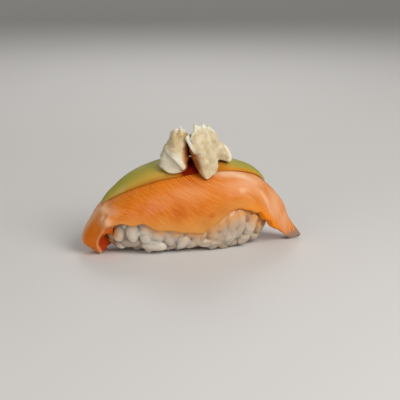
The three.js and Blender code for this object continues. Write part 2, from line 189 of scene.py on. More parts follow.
def sheet_steps(name):
    """Steps along a sheet and across it, and the grid of its share of the full thickness."""
    (along, share_along), (across, share_across) = (rim_steps(*steps) for steps in SHEET_STEPS[name])
    return along, across, share_along[:, None] * share_across[None, :]


def closed_sheet(middle, normal, half):
    """A closed skin round a grid of middle points, each moved out and in along its normal by its `half`.

    It is nothing along the grid's border, so both sides share the border's points. Returns the points, the
    quads, and a function that puts an outer and an inner grid of values in the points' order.
    """
    rows, columns = half.shape
    outer = np.arange(rows * columns).reshape(rows, columns)
    inner = outer.copy()
    inside = (rows - 2, columns - 2)
    inner[1:-1, 1:-1] = rows * columns + np.arange(np.prod(inside)).reshape(inside)

    def quads(grid):
        return np.stack([grid[:-1, :-1], grid[1:, :-1], grid[1:, 1:], grid[:-1, 1:]], -1).reshape(-1, 4)

    def laid_out(outside, inside):
        tail = outside.shape[2:]
        return np.concatenate([part.reshape((-1,) + tail) for part in (outside, inside[1:-1, 1:-1])])

    offset = normal * half[..., None]
    points = laid_out(middle + offset, middle - offset)
    return points, [np.concatenate([quads(outer), quads(inner)[:, ::-1]])], laid_out


def ringed_faces(rings, sides, bodies=1):
    """Faces of closed bodies, each with `rings` rings of `sides` points, then a first and a last pole."""
    ring = np.arange(rings * sides).reshape(rings, sides)
    turned = np.roll(ring, -1, axis=1)
    quads = np.stack([ring[:-1], turned[:-1], turned[1:], ring[1:]], -1).reshape(-1, 4)
    first, last = rings * sides, rings * sides + 1
    poles = np.full(sides, first), np.full(sides, last)
    fans = np.concatenate(
        [np.stack([poles[0], turned[0], ring[0]], -1), np.stack([poles[1], ring[-1], turned[-1]], -1)]
    )
    start = (np.arange(bodies) * (rings * sides + 2))[:, None, None]
    return [(start + quads).reshape(-1, 4), (start + fans).reshape(-1, 3)]


def volume(points, faces):
    """Signed volume inside a closed mesh, from the fans of its faces."""
    total = 0.0
    for part in faces:
        for k in range(1, part.shape[1] - 1):
            a, b, c = points[part[:, 0]], points[part[:, k]], points[part[:, k + 1]]
            total += np.einsum("ij,ij->i", a, np.cross(b, c)).sum()
    return total


def finished_piece(name, points, faces, values, material):
    """A mesh object from points in millimetres, face arrays, named values at its points and a material."""
    if volume(points, faces) < 0:
        faces = [part[:, ::-1] for part in faces]
    mesh = bpy.data.meshes.new(name)
    mesh.vertices.add(len(points))
    mesh.vertices.foreach_set("co", ((points + ORIGIN_SHIFT) * MM).astype(np.float32).ravel())
    corners = np.concatenate([part.ravel() for part in faces])
    sizes = np.concatenate([np.full(len(part), part.shape[1]) for part in faces])
    mesh.loops.add(len(corners))
    mesh.loops.foreach_set("vertex_index", corners.astype(np.int32))
    mesh.polygons.add(len(sizes))
    mesh.polygons.foreach_set("loop_start", (np.cumsum(sizes) - sizes).astype(np.int32))
    mesh.polygons.foreach_set("use_smooth", np.ones(len(sizes), bool))
    for key, value in values.items():
        vector = value.ndim > 1
        attribute = mesh.attributes.new(key, "FLOAT_VECTOR" if vector else "FLOAT", "POINT")
        attribute.data.foreach_set("vector" if vector else "value", value.astype(np.float32).ravel())
    mesh.update(calc_edges=True)
    mesh.validate()
    mesh.materials.append(material)
    piece = bpy.data.objects.new(name, mesh)
    bpy.context.scene.collection.objects.link(piece)
    return piece


# ----------------------------------------------------------------------------------------- the salmon slice

# Stations of the slice from the curled end to the free tip: x, z of the ridge, then x, y, z of the front hem.
STATIONS = np.array([
    [-34.0, 0.3, -32.8, -4.8, 0.1],
    [-38.6, 4.8, -34.3, -7.9, 4.2],
    [-35.1, 12.0, -33.3, -10.4, 9.4],
    [-30.4, 17.3, -28.4, -12.5, 11.4],
    [-21.5, 22.0, -20.5, -13.0, 10.9],
    [-11.0, 25.2, -11.0, -13.2, 7.6],
    [1.0, 26.7, 1.0, -13.2, 7.4],
    [12.0, 26.6, 10.5, -13.0, 12.6],
    [21.0, 24.6, 18.2, -12.5, 13.0],
    [26.3, 20.3, 22.8, -11.2, 9.3],
    [31.8, 14.0, 26.6, -9.2, 5.9],
    [34.6, 7.1, 30.0, -6.8, 3.3],
    [38.8, 1.1, 33.8, -4.6, 0.2],
])
RIDGE_Y = {"body": -1.0, "tip": -3.0}
# Stretches along the slice, as u at both ends of a smooth step, or of one step up and one step down.
ALONG = {
    "tail": (0.72, 1), "uncurls": (0.12, 0.25), "arched": (0.1, 0.28, 0.52, 0.72), "flattens": (0.12, 0.26),
    "back_corner": (0.08, 0.35), "ridge_thins": (0.7, 1), "tail_hem": (0.56, 0.7), "tip_hem": (0.8, 1),
    "feathered": (0.22, 0.32, 0.58, 0.68), "over_grains": (0.2, 0.3, 0.6, 0.7), "end_rim": (0.2, 0.3),
    "veil": (0.17, 0.26, 0.66, 0.74), "band": (0.56, 0.66, 0.86, 0.96), "tip": (0.94, 0.985),
    "cut_end": (0.17, 0.27),
}
# The back hem is the front one mirrored, with a shift, a longer corner at the curled end and waves.
BACK_HEM = {"shift": 0.6, "corner": 3.2, "wave": 1.6, "waves": 2.5, "tail": 1.6}
# The section is part of a superellipse of this power, and ends at this angle from upright.
ARCH_POWER = 2.6
ARCH_END = {"curled": 0.4, "ends": 0.86, "middle": 1.22}
# Thickness at the ridge by stretch, at the hem of the tail and the tip, and the power from ridge to hem.
SLICE = {"curled": 6.0, "ridge": 4.6, "tail": 2.8, "tip": 1.7, "power": 2.2}
# Thickness of the hem at the curled end, from the very end to a third of the way along.
CURLED_HEM = {"to": 0.3, "thick": np.array([5.0, 6.8, 7.2, 5.6, 3.0, 1.2])}
FEATHER = 0.72  # how much thinner than that the hems run out over the rice
SLICE_FACE = (0.01, 0.985)  # from where to where along the slice, and how far across, it presses on the rice
MOST_PUSH = 6.0  # the farthest that a point of the rice is pressed in by it
UNEVEN_HEM = 0.03  # up to twice this share of the half width is missing from the hem in places
SLICE_RUN = 95.0  # length of the slice along its ridge, for noise along it
LEAF_DIP = {"depth": 0.04, "reach": 0.15}
SKIN_DEPTH = 0.12  # how far the skin with its relief lies inside the smooth surface


def slice_surface(u, s):
    """The salmon's outer surface: u runs along it and s across, from -1 at the front hem to 1 at the back.

    Ridge and hem are curves through the stations, and the section between them is a superelliptic arch.
    """
    u, s = np.broadcast_arrays(np.asarray(u, float), np.asarray(s, float))
    rows = curve_weights(len(STATIONS), u) @ STATIONS
    ridge_x, ridge_z, hem_x, hem_y, hem_z = np.moveaxis(rows, -1, 0)
    tail = smooth(u, *ALONG["tail"])
    ridge_y = lerp(RIDGE_Y["body"], RIDGE_Y["tip"], tail)
    opened = lerp(ARCH_END["curled"], ARCH_END["ends"], smooth(u, *ALONG["uncurls"]))
    end = lerp(opened, ARCH_END["middle"], window(u, *ALONG["arched"]))
    angle = np.abs(s) * end
    reach, reach_end = superellipse(angle, ARCH_POWER), superellipse(end, ARCH_POWER)
    out = reach * np.sin(angle) / (reach_end * np.sin(end))
    down = (1 - reach * np.cos(angle)) / (1 - reach_end * np.cos(end))
    back = s > 0
    corner = BACK_HEM["corner"] * (1 - smooth(u, *ALONG["back_corner"]))
    wave = BACK_HEM["wave"] * np.sin(np.pi * BACK_HEM["waves"] * u) * np.sin(np.pi * u)
    hem_x = np.where(back, hem_x + BACK_HEM["shift"] + corner, hem_x)
    hem_y = np.where(back, 2 * ridge_y - hem_y + BACK_HEM["tail"] * tail, hem_y)
    hem_z = np.where(back, hem_z + wave, hem_z)
    return np.stack(
        [lerp(ridge_x, hem_x, out * out), lerp(ridge_y, hem_y, out), lerp(ridge_z, hem_z, down)], -1
    )


def slice_thickness(u, s):
    """Thickness of the slice: greatest at the ridge, thin at the hems, which stay thick at both ends."""
    stations = CURLED_HEM["thick"]
    curled = curve_weights(len(stations), np.clip(u / CURLED_HEM["to"], 0, 1)) @ stations
    hem = lerp(curled, SLICE["tail"], smooth(u, *ALONG["tail_hem"]))
    hem = lerp(hem, SLICE["tip"], smooth(u, *ALONG["tip_hem"]))
    ridge = lerp(SLICE["curled"], SLICE["ridge"], smooth(u, *ALONG["flattens"]))
    ridge = lerp(ridge, SLICE["tip"], smooth(u, *ALONG["ridge_thins"]))
    feather = FEATHER * window(u, *ALONG["feathered"]) * smooth(np.abs(s), 0.8, 1)
    return lerp(ridge, hem, np.abs(s) ** SLICE["power"]) * (1 - feather)


def slice_faces_sampled(rows=150, columns=70):
    """A grid over the slice for keeping other pieces clear of it: u, s, points, normals and thickness."""
    u, s = np.meshgrid(np.linspace(0, 1, rows), np.linspace(-1, 1, columns), indexing="ij")
    return u, s, slice_surface(u, s), normal_of(slice_surface, u, s), slice_thickness(u, s)


def under_the_slice(points, room=0.12):
    """The points, moved in until they lie `room` under the slice's inner face, and their distance from it."""
    u, s, outer, normal, thick = slice_faces_sampled()
    samples = (outer - normal * thick[..., None]).reshape(-1, 3)
    normals = normal.reshape(-1, 3)
    first, last = SLICE_FACE
    inside = ((np.abs(s) < last) & (u > first) & (u < last)).ravel()
    k = nearest(points, samples)
    above = np.einsum("...i,...i->...", points - samples[k], normals[k]) + room
    push = np.where(inside[k], np.clip(above, 0, MOST_PUSH), 0)
    return points - normals[k] * push[..., None], np.linalg.norm(points - samples[k], axis=-1)


def strand_phase(along, across):
    """Which strand of the flesh a point is on, in millimetres across the strands.

    It is a ramp along the slice less a ramp away from the ridge. On the body a strand runs down and back from
    the ridge, turns and sweeps towards the tip, and on the tail all strands run along the slice.
    """
    forward = ramp(130, 600, lambda run: 0.85 - 0.3 * smooth(run, 50, 66) - 0.4 * smooth(run, 68, 88))
    body = ramp(40, 400, lambda span: -0.6 + 1.5 * smooth(span, 0, 11))
    tail = ramp(40, 400, lambda span: 0.55 + 0.35 * smooth(span, 0, 10))
    from_ridge = np.abs(across)
    aside = lerp(np.interp(from_ridge, *body), np.interp(from_ridge, *tail), smooth(along, 40, 85))
    return np.interp(along, *forward) - aside


def salmon_mesh(settings):
    """Points, faces and values of the slice: a closed sheet from its outer surface down to its thickness.

    Smooth swells, the dip between muscle leaves and an uneven hem are added to the outer surface.
    """
    us, ws, share = sheet_steps("salmon")
    u, w = np.meshgrid(us, ws, indexing="ij")
    s = 2 * w - 1
    uneven = cloudy(np.stack([u * SLICE_RUN, s * 0, s * 0], -1), 3.6, 11)
    s = s * (1 - UNEVEN_HEM * (1 + uneven) * np.abs(s) ** 4)
    outer, normal = slice_surface(u, s), normal_of(slice_surface, u, s)
    along = length_along(slice_surface(us, np.zeros_like(us)))
    along = np.broadcast_to(along[:, None], u.shape)
    run = length_along(outer, axis=1)
    across = run - np.take_along_axis(run, np.argmin(np.abs(s), axis=1)[:, None], axis=1)
    phase = strand_phase(along, across) + 0.5 * cloudy(outer, 6.0, 5)
    leaf = phase / (settings.leaf_pitch / MM)
    off_line = np.abs(leaf - np.round(leaf)) * 2  # 0 on the line between two leaves, 1 midway
    relief = -LEAF_DIP["depth"] * hump(off_line, 0, LEAF_DIP["reach"]) - SKIN_DEPTH
    crumple = hump(outer[..., 0], -31, 4) * hump(outer[..., 2], 13, 5) * (s < 0)
    over_grains = smooth(np.abs(s), 0.6, 0.9) * window(u, *ALONG["over_grains"])
    # Swells of the skin: where, how high, their size and their seed.
    swells = (1, 0.16, 9.0, 3), (1, 0.07, 3.0, 4), (crumple, 0.6, 2.0, 8), (over_grains, 0.3, 3.2, 9)
    for where, high, size, seed in swells:
        relief = relief + where * high * cloudy(outer, size, seed)
    outer = outer + normal * relief[..., None]
    half = 0.5 * (slice_thickness(u, s) - 0.1)
    points, faces, laid_out = closed_sheet(outer - normal * half[..., None], normal, half * share)
    values = salmon_values(u, s, outer, along, across, phase, leaf, 1 - share)
    return points, faces, {name: laid_out(*sides) for name, sides in values.items()}


def soft_spots(x, z, table):
    """The strongest of a table of soft spots: middle x and z, reach in x and z, strength."""
    return np.max([strength * hump(x, a, c) * hump(z, b, d) for a, b, c, d, strength in table], axis=0)


def soft_stripe(x, z, line, reach=1.3, count=40):
    """A soft stripe along a bent line of points x, z: the nearest of `count` round spots along it."""
    share = np.linspace(0, len(line) - 1, count)
    a, b = (np.interp(share, np.arange(len(line)), line[:, k]) for k in (0, 1))
    return np.max([hump(np.hypot(x - p, z - q), 0, reach) for p, q in zip(a, b)], axis=0)


def salmon_values(u, s, outer, along, across, phase, leaf, rim):
    """Values that the salmon's material reads, each on the outer and on the inner side of the sheet."""
    x, z, side, zero = outer[..., 0], outer[..., 2], np.abs(s), np.zeros_like(u)
    front = smooth(-across, 0.5, 2.5)
    # Painted rim light along the outline of the curled end.
    end_rim = (1 - smooth(u, *ALONG["end_rim"])) * smooth(s, -0.5, -0.1) * (1 - 0.8 * smooth(s, 0.1, 0.5))
    broken = 0.75 + 0.5 * cloudy(np.stack([leaf * 3, along * 0.3, zero], -1), 1.6, 13)
    # Pale flesh with painted sheen and highlights, from stripes and spots on the front.
    first, second = (soft_stripe(x, z, line) for line in PALE_STRIPES)
    stripes = np.maximum(first, 0.9 * second) * np.clip(broken, 0.3, 1)
    pale = np.maximum(np.maximum(soft_spots(x, z, PALE_SPOTS), stripes) * front, 0.8 * end_rim)
    # Deeper blotches of the flesh, one of them painted shade under the ginger's hollow.
    deep = soft_spots(x, z, DEEP_SPOTS) * front
    veil = smooth(side, 0.74, 1.0) * window(u, *ALONG["veil"]) * (1 - 0.85 * deep)
    band = smooth(side, 0.8, 0.97) * window(u, *ALONG["band"])
    tip, cut_end = smooth(u, *ALONG["tip"]), 1 - smooth(u, *ALONG["cut_end"])
    strands = np.stack([phase, across * 0.12, along * 0.06], -1)
    return {
        "strand": (strands, strands),
        "pale": (pale, zero),
        "deep": (deep, zero),
        "veil": (veil, veil * 0.5),
        "band": (band, zero + 0.8),
        "tip": (tip, tip),
        "depth": (0.5 * rim, 1 - 0.5 * rim),
        "cut_end": (cut_end, cut_end),
        # Painted glow on the curled end.
        "ember": (soft_spots(x, z, EMBER_SPOTS) * front, zero),
    }


# Painted glow on the curled end: x, z, reach in x and z, strength.
EMBER_SPOTS = [(-36.0, 6.2, 2.4, 4.6, 1.0)]
# Pale flesh with painted sheen and highlights, in stripes and spots; the two spots at the curled end are pale
# flakes.
PALE_STRIPES = [
    np.array([[7.0, 25.9], [12.4, 25.3], [16.7, 24.2], [20.5, 22.4]]),
    np.array([[14.6, 20.5], [18.9, 20.8], [21.8, 18.2], [24.4, 14.8], [26.2, 11.0]]),
]
PALE_SPOTS = [
    (27.5, 14.0, 4.0, 6.5, 0.55),
    (31.0, 7.5, 3.5, 4.5, 0.45),
    (19.0, 22.5, 8.0, 3.0, 0.55),
    (-3.5, 20.5, 5.0, 2.2, 0.15),
    (-32.3, 15.8, 4.0, 1.5, 0.9),
    (-31.5, 12.6, 1.8, 1.9, 0.9),
]
# Deeper blotches: x, z, reach in x and z, strength; the spot at x -2.0, z 24.5 is painted shade under the
# hollow.
DEEP_SPOTS = [
    (-7.6, 14.4, 3.4, 3.0, 0.9),
    (-1.5, 14.6, 4.0, 3.0, 0.45),
    (3.7, 12.9, 1.2, 1.0, 1.0),
    (-2.0, 24.5, 4.5, 2.2, 0.9),
    (14.0, 14.2, 8.0, 1.4, 0.7),
    (-18.0, 15.0, 8.0, 4.5, 0.55),
]


def hollow_share(points):
    """How far a point is inside the dark hollow between the two ginger slices, from 0 to 1, where shade is
    painted.
    """
    x, y, _ = np.moveaxis(points, -1, 0)
    return window(x, -7.5, -3.0, 0.2, 3.4) * window(y, -11.0, -8.6, 0.6, 2.0)


# ------------------------------------------------------------------------------------------- the rice block

RICE = {"middle": (-2.3, -0.6, 10.0), "half": (27.9, 11.0, 11.8), "plan": 2.7, "side": 2.8}
CORE_DEPTH = 1.2  # how far the bare core lies under the skin of the block
# How the core rises between the grains: `stiff` sharpens the soft maximum, `most` is the farthest rise,
# `sink` is how far it stays below the grains, `front` is that in front, `shoulder` how much less it is high
# up there, `foot` draws it in at the bottom and `ground` is its lowest height.
CORE = {"stiff": 1.3, "most": 4.0, "sink": 0.32, "front": -0.02, "shoulder": 0.43, "foot": 0.9, "ground": 0.3}

# Painted orange bounce light and shade on the rice by the salmon: up to which distance it is full, and how
# far it fades on the left and the right.
RICE_STAIN = {"full": 0.9, "left": 0.9, "right": 2.5}

# Grains at the front that lie in a known place: x, z, length, width, lean from upright in degrees, how far it
# stands out of the skin, and its tone from -1, dark and warm, to 1, bright. The darkest tones, on low grains,
# are painted shade.
FRONT_GRAINS = np.array([
    [-29.6, 3.4, 6.2, 3.6, 35, 0.7, -1.0],
    [-28.0, 2.0, 6.0, 3.4, 80, 0.6, -0.9],
    [-27.4, 7.7, 6.6, 4.2, 14, 0.6, 0.6],
    [-22.8, 7.9, 7.0, 4.5, 2, 0.8, 0.5],
    [-18.6, 7.2, 7.0, 4.3, -4, 0.7, 0.6],
    [-14.6, 7.0, 6.4, 4.0, 8, 0.4, 0.4],
    [-23.4, 3.2, 7.6, 3.6, 84, -0.2, -0.9],
    [-15.3, 2.8, 8.6, 3.8, 99, 0.9, 0.2],
    [-10.6, 5.0, 5.6, 3.6, -30, 0.3, 0.1],
    [-9.6, 2.0, 5.6, 3.2, 70, -0.1, -0.6],
    [-5.8, 3.7, 5.8, 4.2, 38, 0.8, 0.8],
    [-2.2, 3.0, 5.4, 3.3, 62, 0.7, 0.5],
    [0.2, 6.0, 6.2, 4.0, 12, 0.5, 0.3],
    [2.6, 2.7, 6.6, 3.2, 92, 0.8, 0.8],
    [4.6, 5.8, 5.8, 3.8, -25, 0.3, 0.2],
    [7.9, 4.6, 7.2, 4.0, 12, 0.8, 0.4],
    [10.6, 4.4, 6.8, 3.8, -8, 0.8, 0.7],
    [13.6, 5.6, 5.6, 3.8, 30, 0.4, 0.2],
    [14.6, 8.8, 5.6, 3.8, -20, 0.3, 0.3],
    [18.2, 6.6, 6.4, 4.2, 6, 0.8, 0.7],
    [21.8, 6.0, 5.2, 3.2, -22, 0.5, -0.4],
    [23.9, 3.7, 5.8, 3.5, 12, 1.0, 0.4],
    [5.2, 1.9, 4.8, 3.1, 62, 0.8, 0.4],
    [16.0, 2.6, 5.0, 3.3, 40, 1.0, 0.6],
    [20.9, 2.4, 4.6, 3.2, 74, 0.8, 0.5],
])


def block_point(turn, z):
    """The skin of the bare rice block at a turn and a height, superelliptic in plan and in section."""
    rise = np.minimum(np.abs(z - RICE["middle"][2]) / RICE["half"][2], 1)
    level = (1 - rise ** RICE["side"]) ** (1 / RICE["side"])
    reach = superellipse(turn, RICE["plan"], *RICE["half"][:2]) * level
    x, y, _ = RICE["middle"]
    return np.stack([x + reach * np.cos(turn), y + reach * np.sin(turn), z + 0 * turn], -1)


def even_turn(share):
    """The plan direction a share of the way round the block, with even steps along its outline."""
    turn = np.linspace(0, 2 * np.pi, 721)
    length = length_along(block_point(turn, RICE["middle"][2]))
    return np.interp(np.mod(share, 1) * length[-1], length, turn)


def core_skin(rings, sides):
    """Points and outward normals of the bare core: superelliptic rings one above the other, and two poles.

    The normals are the slope of the block's own formula, a sum of powers of x, y and z.
    """
    angle = np.linspace(-np.pi / 2, np.pi / 2, rings + 2)[1:-1, None]
    turn = even_turn(np.arange(sides) / sides)[None, :]
    a, b, c = (half - CORE_DEPTH for half in RICE["half"])
    p, q = RICE["plan"], RICE["side"]
    reach = superellipse(turn, p, a, b) * np.cos(angle) ** (2 / q)
    height = c * np.sign(np.sin(angle)) * np.abs(np.sin(angle)) ** (2 / q)
    flat = np.stack([reach * np.cos(turn), reach * np.sin(turn), np.broadcast_to(height, reach.shape)], -1)
    flat = np.concatenate([flat.reshape(-1, 3), [[0, 0, -c], [0, 0, c]]])
    x, y, z = (np.abs(flat) / (a, b, c)).T
    plan = np.maximum(x**p + y**p, 1e-9) ** (q / p - 1)
    slope = np.stack([plan * x ** (p - 1) / a, plan * y ** (p - 1) / b, z ** (q - 1) / c], -1)
    return flat + RICE["middle"], unit(slope * np.sign(flat))


def core_sink(points):
    """How far the core stays below the grains: plainly at the back and the left end, hardly in front."""
    x, y, z = points.T
    front = CORE["front"] - CORE["shoulder"] * smooth(z, 7, 11) * smooth(x, 2, 9)
    soft = lerp(CORE["sink"], front, 1 - smooth(y, -7, -1))
    return lerp(CORE["sink"], soft, smooth(x, -14, 6))


def core_mesh(bed):
    """The pressed core: its bare skin, raised between the grains.

    Each point rises along the block's normal to a soft maximum of the grains' heights there, a
    logarithm of summed exponentials, less a sink that differs over the block, so it fills the creases between
    grains. Returns the grains' tones with their painted shade, blended in the same proportions too, and a
    darker tone of -0.5 where no grain lies.
    """
    rings, sides, stiff = 110, 330, CORE["stiff"]
    points, normal = core_skin(rings, sides)
    middle, axis, out, long, wide, tone = bed
    side = unit(np.cross(axis, out))
    parts = []
    for share in np.array_split(np.arange(len(points)), 12):
        away = points[share, None] - middle[None]
        lengthways = np.einsum("ijk,jk->ij", away, axis) / (0.5 * long)
        sideways = np.einsum("ijk,jk->ij", away, side) / (0.5 * wide)
        dome = np.sqrt(np.maximum(1 - lengthways**2 - sideways**2, 0))
        height = 0.45 * wide * dome - np.einsum("ijk,ik->ij", away, normal[share])
        weight = np.exp(stiff * np.clip(height, 0, CORE["most"])) * (dome > 0)
        total = weight.sum(1)
        rise = np.log(np.maximum(total, 1)) / stiff
        blended = (weight * tone).sum(1) / np.maximum(total, 1e-9)
        parts.append(np.stack([rise, np.where(total > 0, blended, -0.5)], -1))
    rise, tone = np.concatenate(parts).T
    rise = np.clip(rise - core_sink(points), 0, CORE["most"])
    rise = np.maximum(rise - CORE["foot"] * (1 - smooth(points[:, 2], 1.0, 4.5)), 0)
    points = points + normal * rise[:, None]
    points[:, 2] = np.maximum(points[:, 2], CORE["ground"])
    return points, ringed_faces(rings, sides), tone


# The scattered grains: the heights of their rows, how many go round, and how much each varies in turn,
# height, slant, size, stand out of the skin and tone. Then the layer underneath: its height, places, outline.
BED = {
    "heights": np.arange(1.7, 21.4, 2.7), "round": 31,
    "turn": 0.5, "height": 0.6, "slant": 0.9, "size": (0.88, 1.1), "stand": (0.0, 0.7), "tone": (-0.4, 0.6),
    "below": 1.45, "x": np.arange(-29, 21, 4.4), "y": np.arange(-8, 9, 3.2), "spread": 0.7, "half": (20, 6.4),
}


def grain_bed(settings):
    """Where the grains lie: their middles, long axes and outward directions, lengths, widths and tones, these
    with painted shade.

    Rows go round the block one above the other with seeded slants, the grains of `FRONT_GRAINS` take their
    known places among them, and a flat layer lies underneath.
    """
    random = np.random.default_rng(settings.seed)
    length, width = settings.grain_length / MM, settings.grain_width / MM
    heights, per_row = BED["heights"], BED["round"]
    row, place = np.divmod(np.arange(len(heights) * per_row), per_row)
    count, lowest = len(row), row == 0

    def varied(reach):
        return random.uniform(-reach, reach, count)

    rise = np.abs(heights - RICE["middle"][2]) / RICE["half"][2]
    level = np.sqrt(np.clip(1 - rise ** RICE["side"], 0.05, 1))[row]
    keep = random.random(count) < level
    turn = even_turn((place + 0.5 * (row % 2) + 0.6 * varied(BED["turn"])) / per_row)
    z = heights[row] + varied(BED["height"])
    slant = np.where(lowest, np.pi / 2, 0.2) + varied(BED["slant"]) * np.where(lowest, 0.7, 1.2)
    size = random.uniform(*BED["size"], (count, 2))
    stand = random.uniform(*BED["stand"], count)
    tone = random.uniform(*BED["tone"], count)
    where = block_point(turn, z)
    known = FRONT_GRAINS[:, :2]
    distance = np.linalg.norm(where[:, None, ::2] - known[None], axis=-1).min(1)
    keep &= ~((where[:, 1] < -5) & (distance < 2.9))
    rows = np.stack([turn, z, slant, length * size[:, 0], width * size[:, 1], stand, tone], -1)[keep]

    search = np.linspace(np.pi, 2 * np.pi, 2001)  # the front half of the outline
    ring = block_point(search[None, :], known[:, 1:])
    found = search[np.argmin(np.abs(ring[..., 0] - known[:, :1]), axis=1)]
    _, z, long, wide, lean, stand, tone = FRONT_GRAINS.T
    placed = np.stack([found, z, np.radians(lean), long, wide, stand, tone], -1)
    turn, z, slant, long, wide, stand, tone = np.concatenate([rows, placed]).T

    skin = block_point(turn, z)
    around = unit(block_point(turn + 0.01, z) - block_point(turn - 0.01, z))
    up = unit(block_point(turn, z + 0.1) - block_point(turn, z - 0.1))
    out = unit(np.cross(around, up))
    axis = unit(up * np.cos(slant)[:, None] + around * np.sin(slant)[:, None])
    middle = skin + out * (stand - 0.42 * wide)[:, None]

    x, y = (part.ravel() for part in np.meshgrid(BED["x"], BED["y"]))
    spread = random.uniform(-BED["spread"], BED["spread"], (len(x), 2))
    heading = random.uniform(0, np.pi, len(x))
    below = np.stack([x + spread[:, 0], y + spread[:, 1], np.full(len(x), BED["below"])], -1)
    half_x, half_y = BED["half"]
    off_x, off_y = np.abs(below[:, 0] - RICE["middle"][0]) / half_x, np.abs(below[:, 1]) / half_y
    inside = off_x ** RICE["plan"] + off_y ** RICE["plan"] < 1
    below, heading = below[inside], heading[inside]
    down = np.tile([0.0, 0.0, -1.0], (len(below), 1))
    lying = np.stack([np.cos(heading), np.sin(heading), 0 * heading], -1)
    middle, axis, out = np.append(middle, below, 0), np.append(axis, lying, 0), np.append(out, down, 0)
    long, wide = np.append(long, np.full(len(below), length)), np.append(wide, np.full(len(below), width))
    tone = np.append(tone, random.uniform(-0.4, 0.4, len(below)))
    # Painted shade: the tones are darker towards the right, and further at the lower right.
    right, low = smooth(middle[:, 0], -22, 4), 1 - smooth(middle[:, 2], 3, 7)
    return middle, axis, out, long, wide, tone + lerp(0.5, -0.35, right) - 0.4 * right * low


# One grain: rings and sides of its mesh, the power of its girth, and how full, bent and flat it may be.
GRAIN = {
    "rings": 9, "sides": 12, "seed": 77, "power": 0.74, "fuller": 0.16, "bend": 0.45, "flat": (0.82, 0.98),
}


def grain_points(middle, axis, out, long, wide):
    """The points of all grains: each a spindle whose radius follows a power of the cosine along it.

    Every grain is a little flatter than wide, bent, and fuller at one end, by seeded amounts.
    """
    rings, sides = GRAIN["rings"], GRAIN["sides"]
    random = np.random.default_rng(GRAIN["seed"])
    count = len(middle)
    angle = np.linspace(-np.pi / 2, np.pi / 2, rings + 2)[1:-1]
    turn = np.arange(sides) * 2 * np.pi / sides
    lengthways = np.append(np.repeat(np.sin(angle), sides), [-1, 1])
    girth = np.append(np.repeat(np.cos(angle) ** GRAIN["power"], sides), [0, 0])
    sideways = girth * np.append(np.tile(np.cos(turn), rings), [0, 0])
    outwards = girth * np.append(np.tile(np.sin(turn), rings), [0, 0])
    fuller = 1 + random.uniform(-GRAIN["fuller"], GRAIN["fuller"], (count, 1)) * lengthways
    bend = random.uniform(-GRAIN["bend"], GRAIN["bend"], (count, 1)) * (lengthways**2 - 0.35)
    flat = random.uniform(*GRAIN["flat"], (count, 1))
    side = unit(np.cross(axis, out))
    face = np.cross(side, axis)
    half, radius = 0.5 * long[:, None], 0.5 * wide[:, None]
    return (
        middle[:, None]
        + side[:, None] * (sideways * radius * fuller + bend)[..., None]
        + axis[:, None] * (lengthways * half)[..., None]
        + face[:, None] * (outwards * radius * fuller * flat)[..., None]
    ), ringed_faces(rings, sides, count)


def rice_values(points, distance, tone):
    """Values that the rice material reads: each grain's tone with its painted shade, and the painted orange
    bounce light and shade from the salmon.

    The painted bounce is full up to a distance from the salmon, then fades exponentially, more slowly on the
    right.
    """
    left, right, full = RICE_STAIN["left"], RICE_STAIN["right"], RICE_STAIN["full"]
    reach = lerp(left, right, smooth(points[..., 0], -8, 6))
    return {"tone": tone, "stain": np.exp(-np.maximum(distance - full, 0) / reach)}


# -------------------------------------------------------------------------------------------- avocado wedge

# The wedge on the salmon: where along the slice it starts and ends, where across it its front edge, its back
# edge and its two tips lie, its thickness at both edges, how far its right tip lifts, the powers of the sine
# that it widens and thickens by at both tips, how thin it tapers to the right, and the gap under it.
AVOCADO = {
    "from": 0.235, "to": 0.73, "front": -0.3, "back": 0.52, "ends": (0.02, -0.3), "front_edge": 0.8,
    "back_edge": 6.3, "tip_lift": 0.2, "bow": (0.45, 0.5), "run_out": (1.1, 0.75), "taper": 0.55,
    "gap": 0.18,
}


def avocado_point(t, w, height):
    """The wedge at t along it and w across it, lifted off the salmon by `height` shares of its thickness."""
    a = AVOCADO
    bow = np.sin(np.pi * t) ** lerp(*a["bow"], t)
    tip = lerp(*a["ends"], t)
    s = lerp(lerp(tip, a["front"], bow), lerp(tip, a["back"], bow), w)
    u = lerp(a["from"], a["to"], t)
    lift = a["gap"] + a["tip_lift"] * smooth(t, 0.8, 1) ** 1.4
    out = lift + height * avocado_thickness(t, w)
    return slice_surface(u, s) + normal_of(slice_surface, u, s) * np.asarray(out)[..., None]


def avocado_thickness(t, w):
    """Thickness of the wedge: thin at its front edge, thick at its back edge, running out at both tips."""
    rounded = lerp(1, 0.65, smooth(w, 0.84, 1)) * lerp(0.55, 1, smooth(w, 0, 0.12))
    across = lerp(AVOCADO["front_edge"], AVOCADO["back_edge"], np.clip(w, 0, 1) ** 0.9)
    run_out = np.sin(np.pi * t) ** lerp(*AVOCADO["run_out"], t)
    return across * run_out * lerp(1, AVOCADO["taper"], smooth(t, 0.54, 0.9)) * rounded


def avocado_mesh():
    """Points, faces and values of the wedge: a closed sheet about the middle of its thickness."""
    ts, ws, share = sheet_steps("avocado")
    t, w = np.meshgrid(lerp(0.012, 0.988, ts), ws, indexing="ij")
    top, bottom = avocado_point(t, w, 1.0), avocado_point(t, w, 0.0)
    relief = (0.22 * cloudy(top, 5.0, 31) - 0.2) * smooth(t, 0, 0.1)
    top = top + unit(top - bottom) * relief[..., None]
    middle, span = (top + bottom) / 2, top - bottom
    half = 0.5 * np.linalg.norm(span, axis=-1) * share
    points, faces, laid_out = closed_sheet(middle, unit(span), half)
    zero = np.zeros_like(t)
    # Painted shade on the avocado under the right ginger slice's flap, beside the painted shade of the
    # hollow.
    beside = 0.3 * hump(top[..., 0], 8.5, 3.5) * smooth(top[..., 1], 1, -2)
    values = {
        "lengthways": laid_out(t, t),
        "crossways": laid_out(w, w),
        "hollow": laid_out(np.maximum(hollow_share(top), beside), zero),
    }
    return points, faces, values
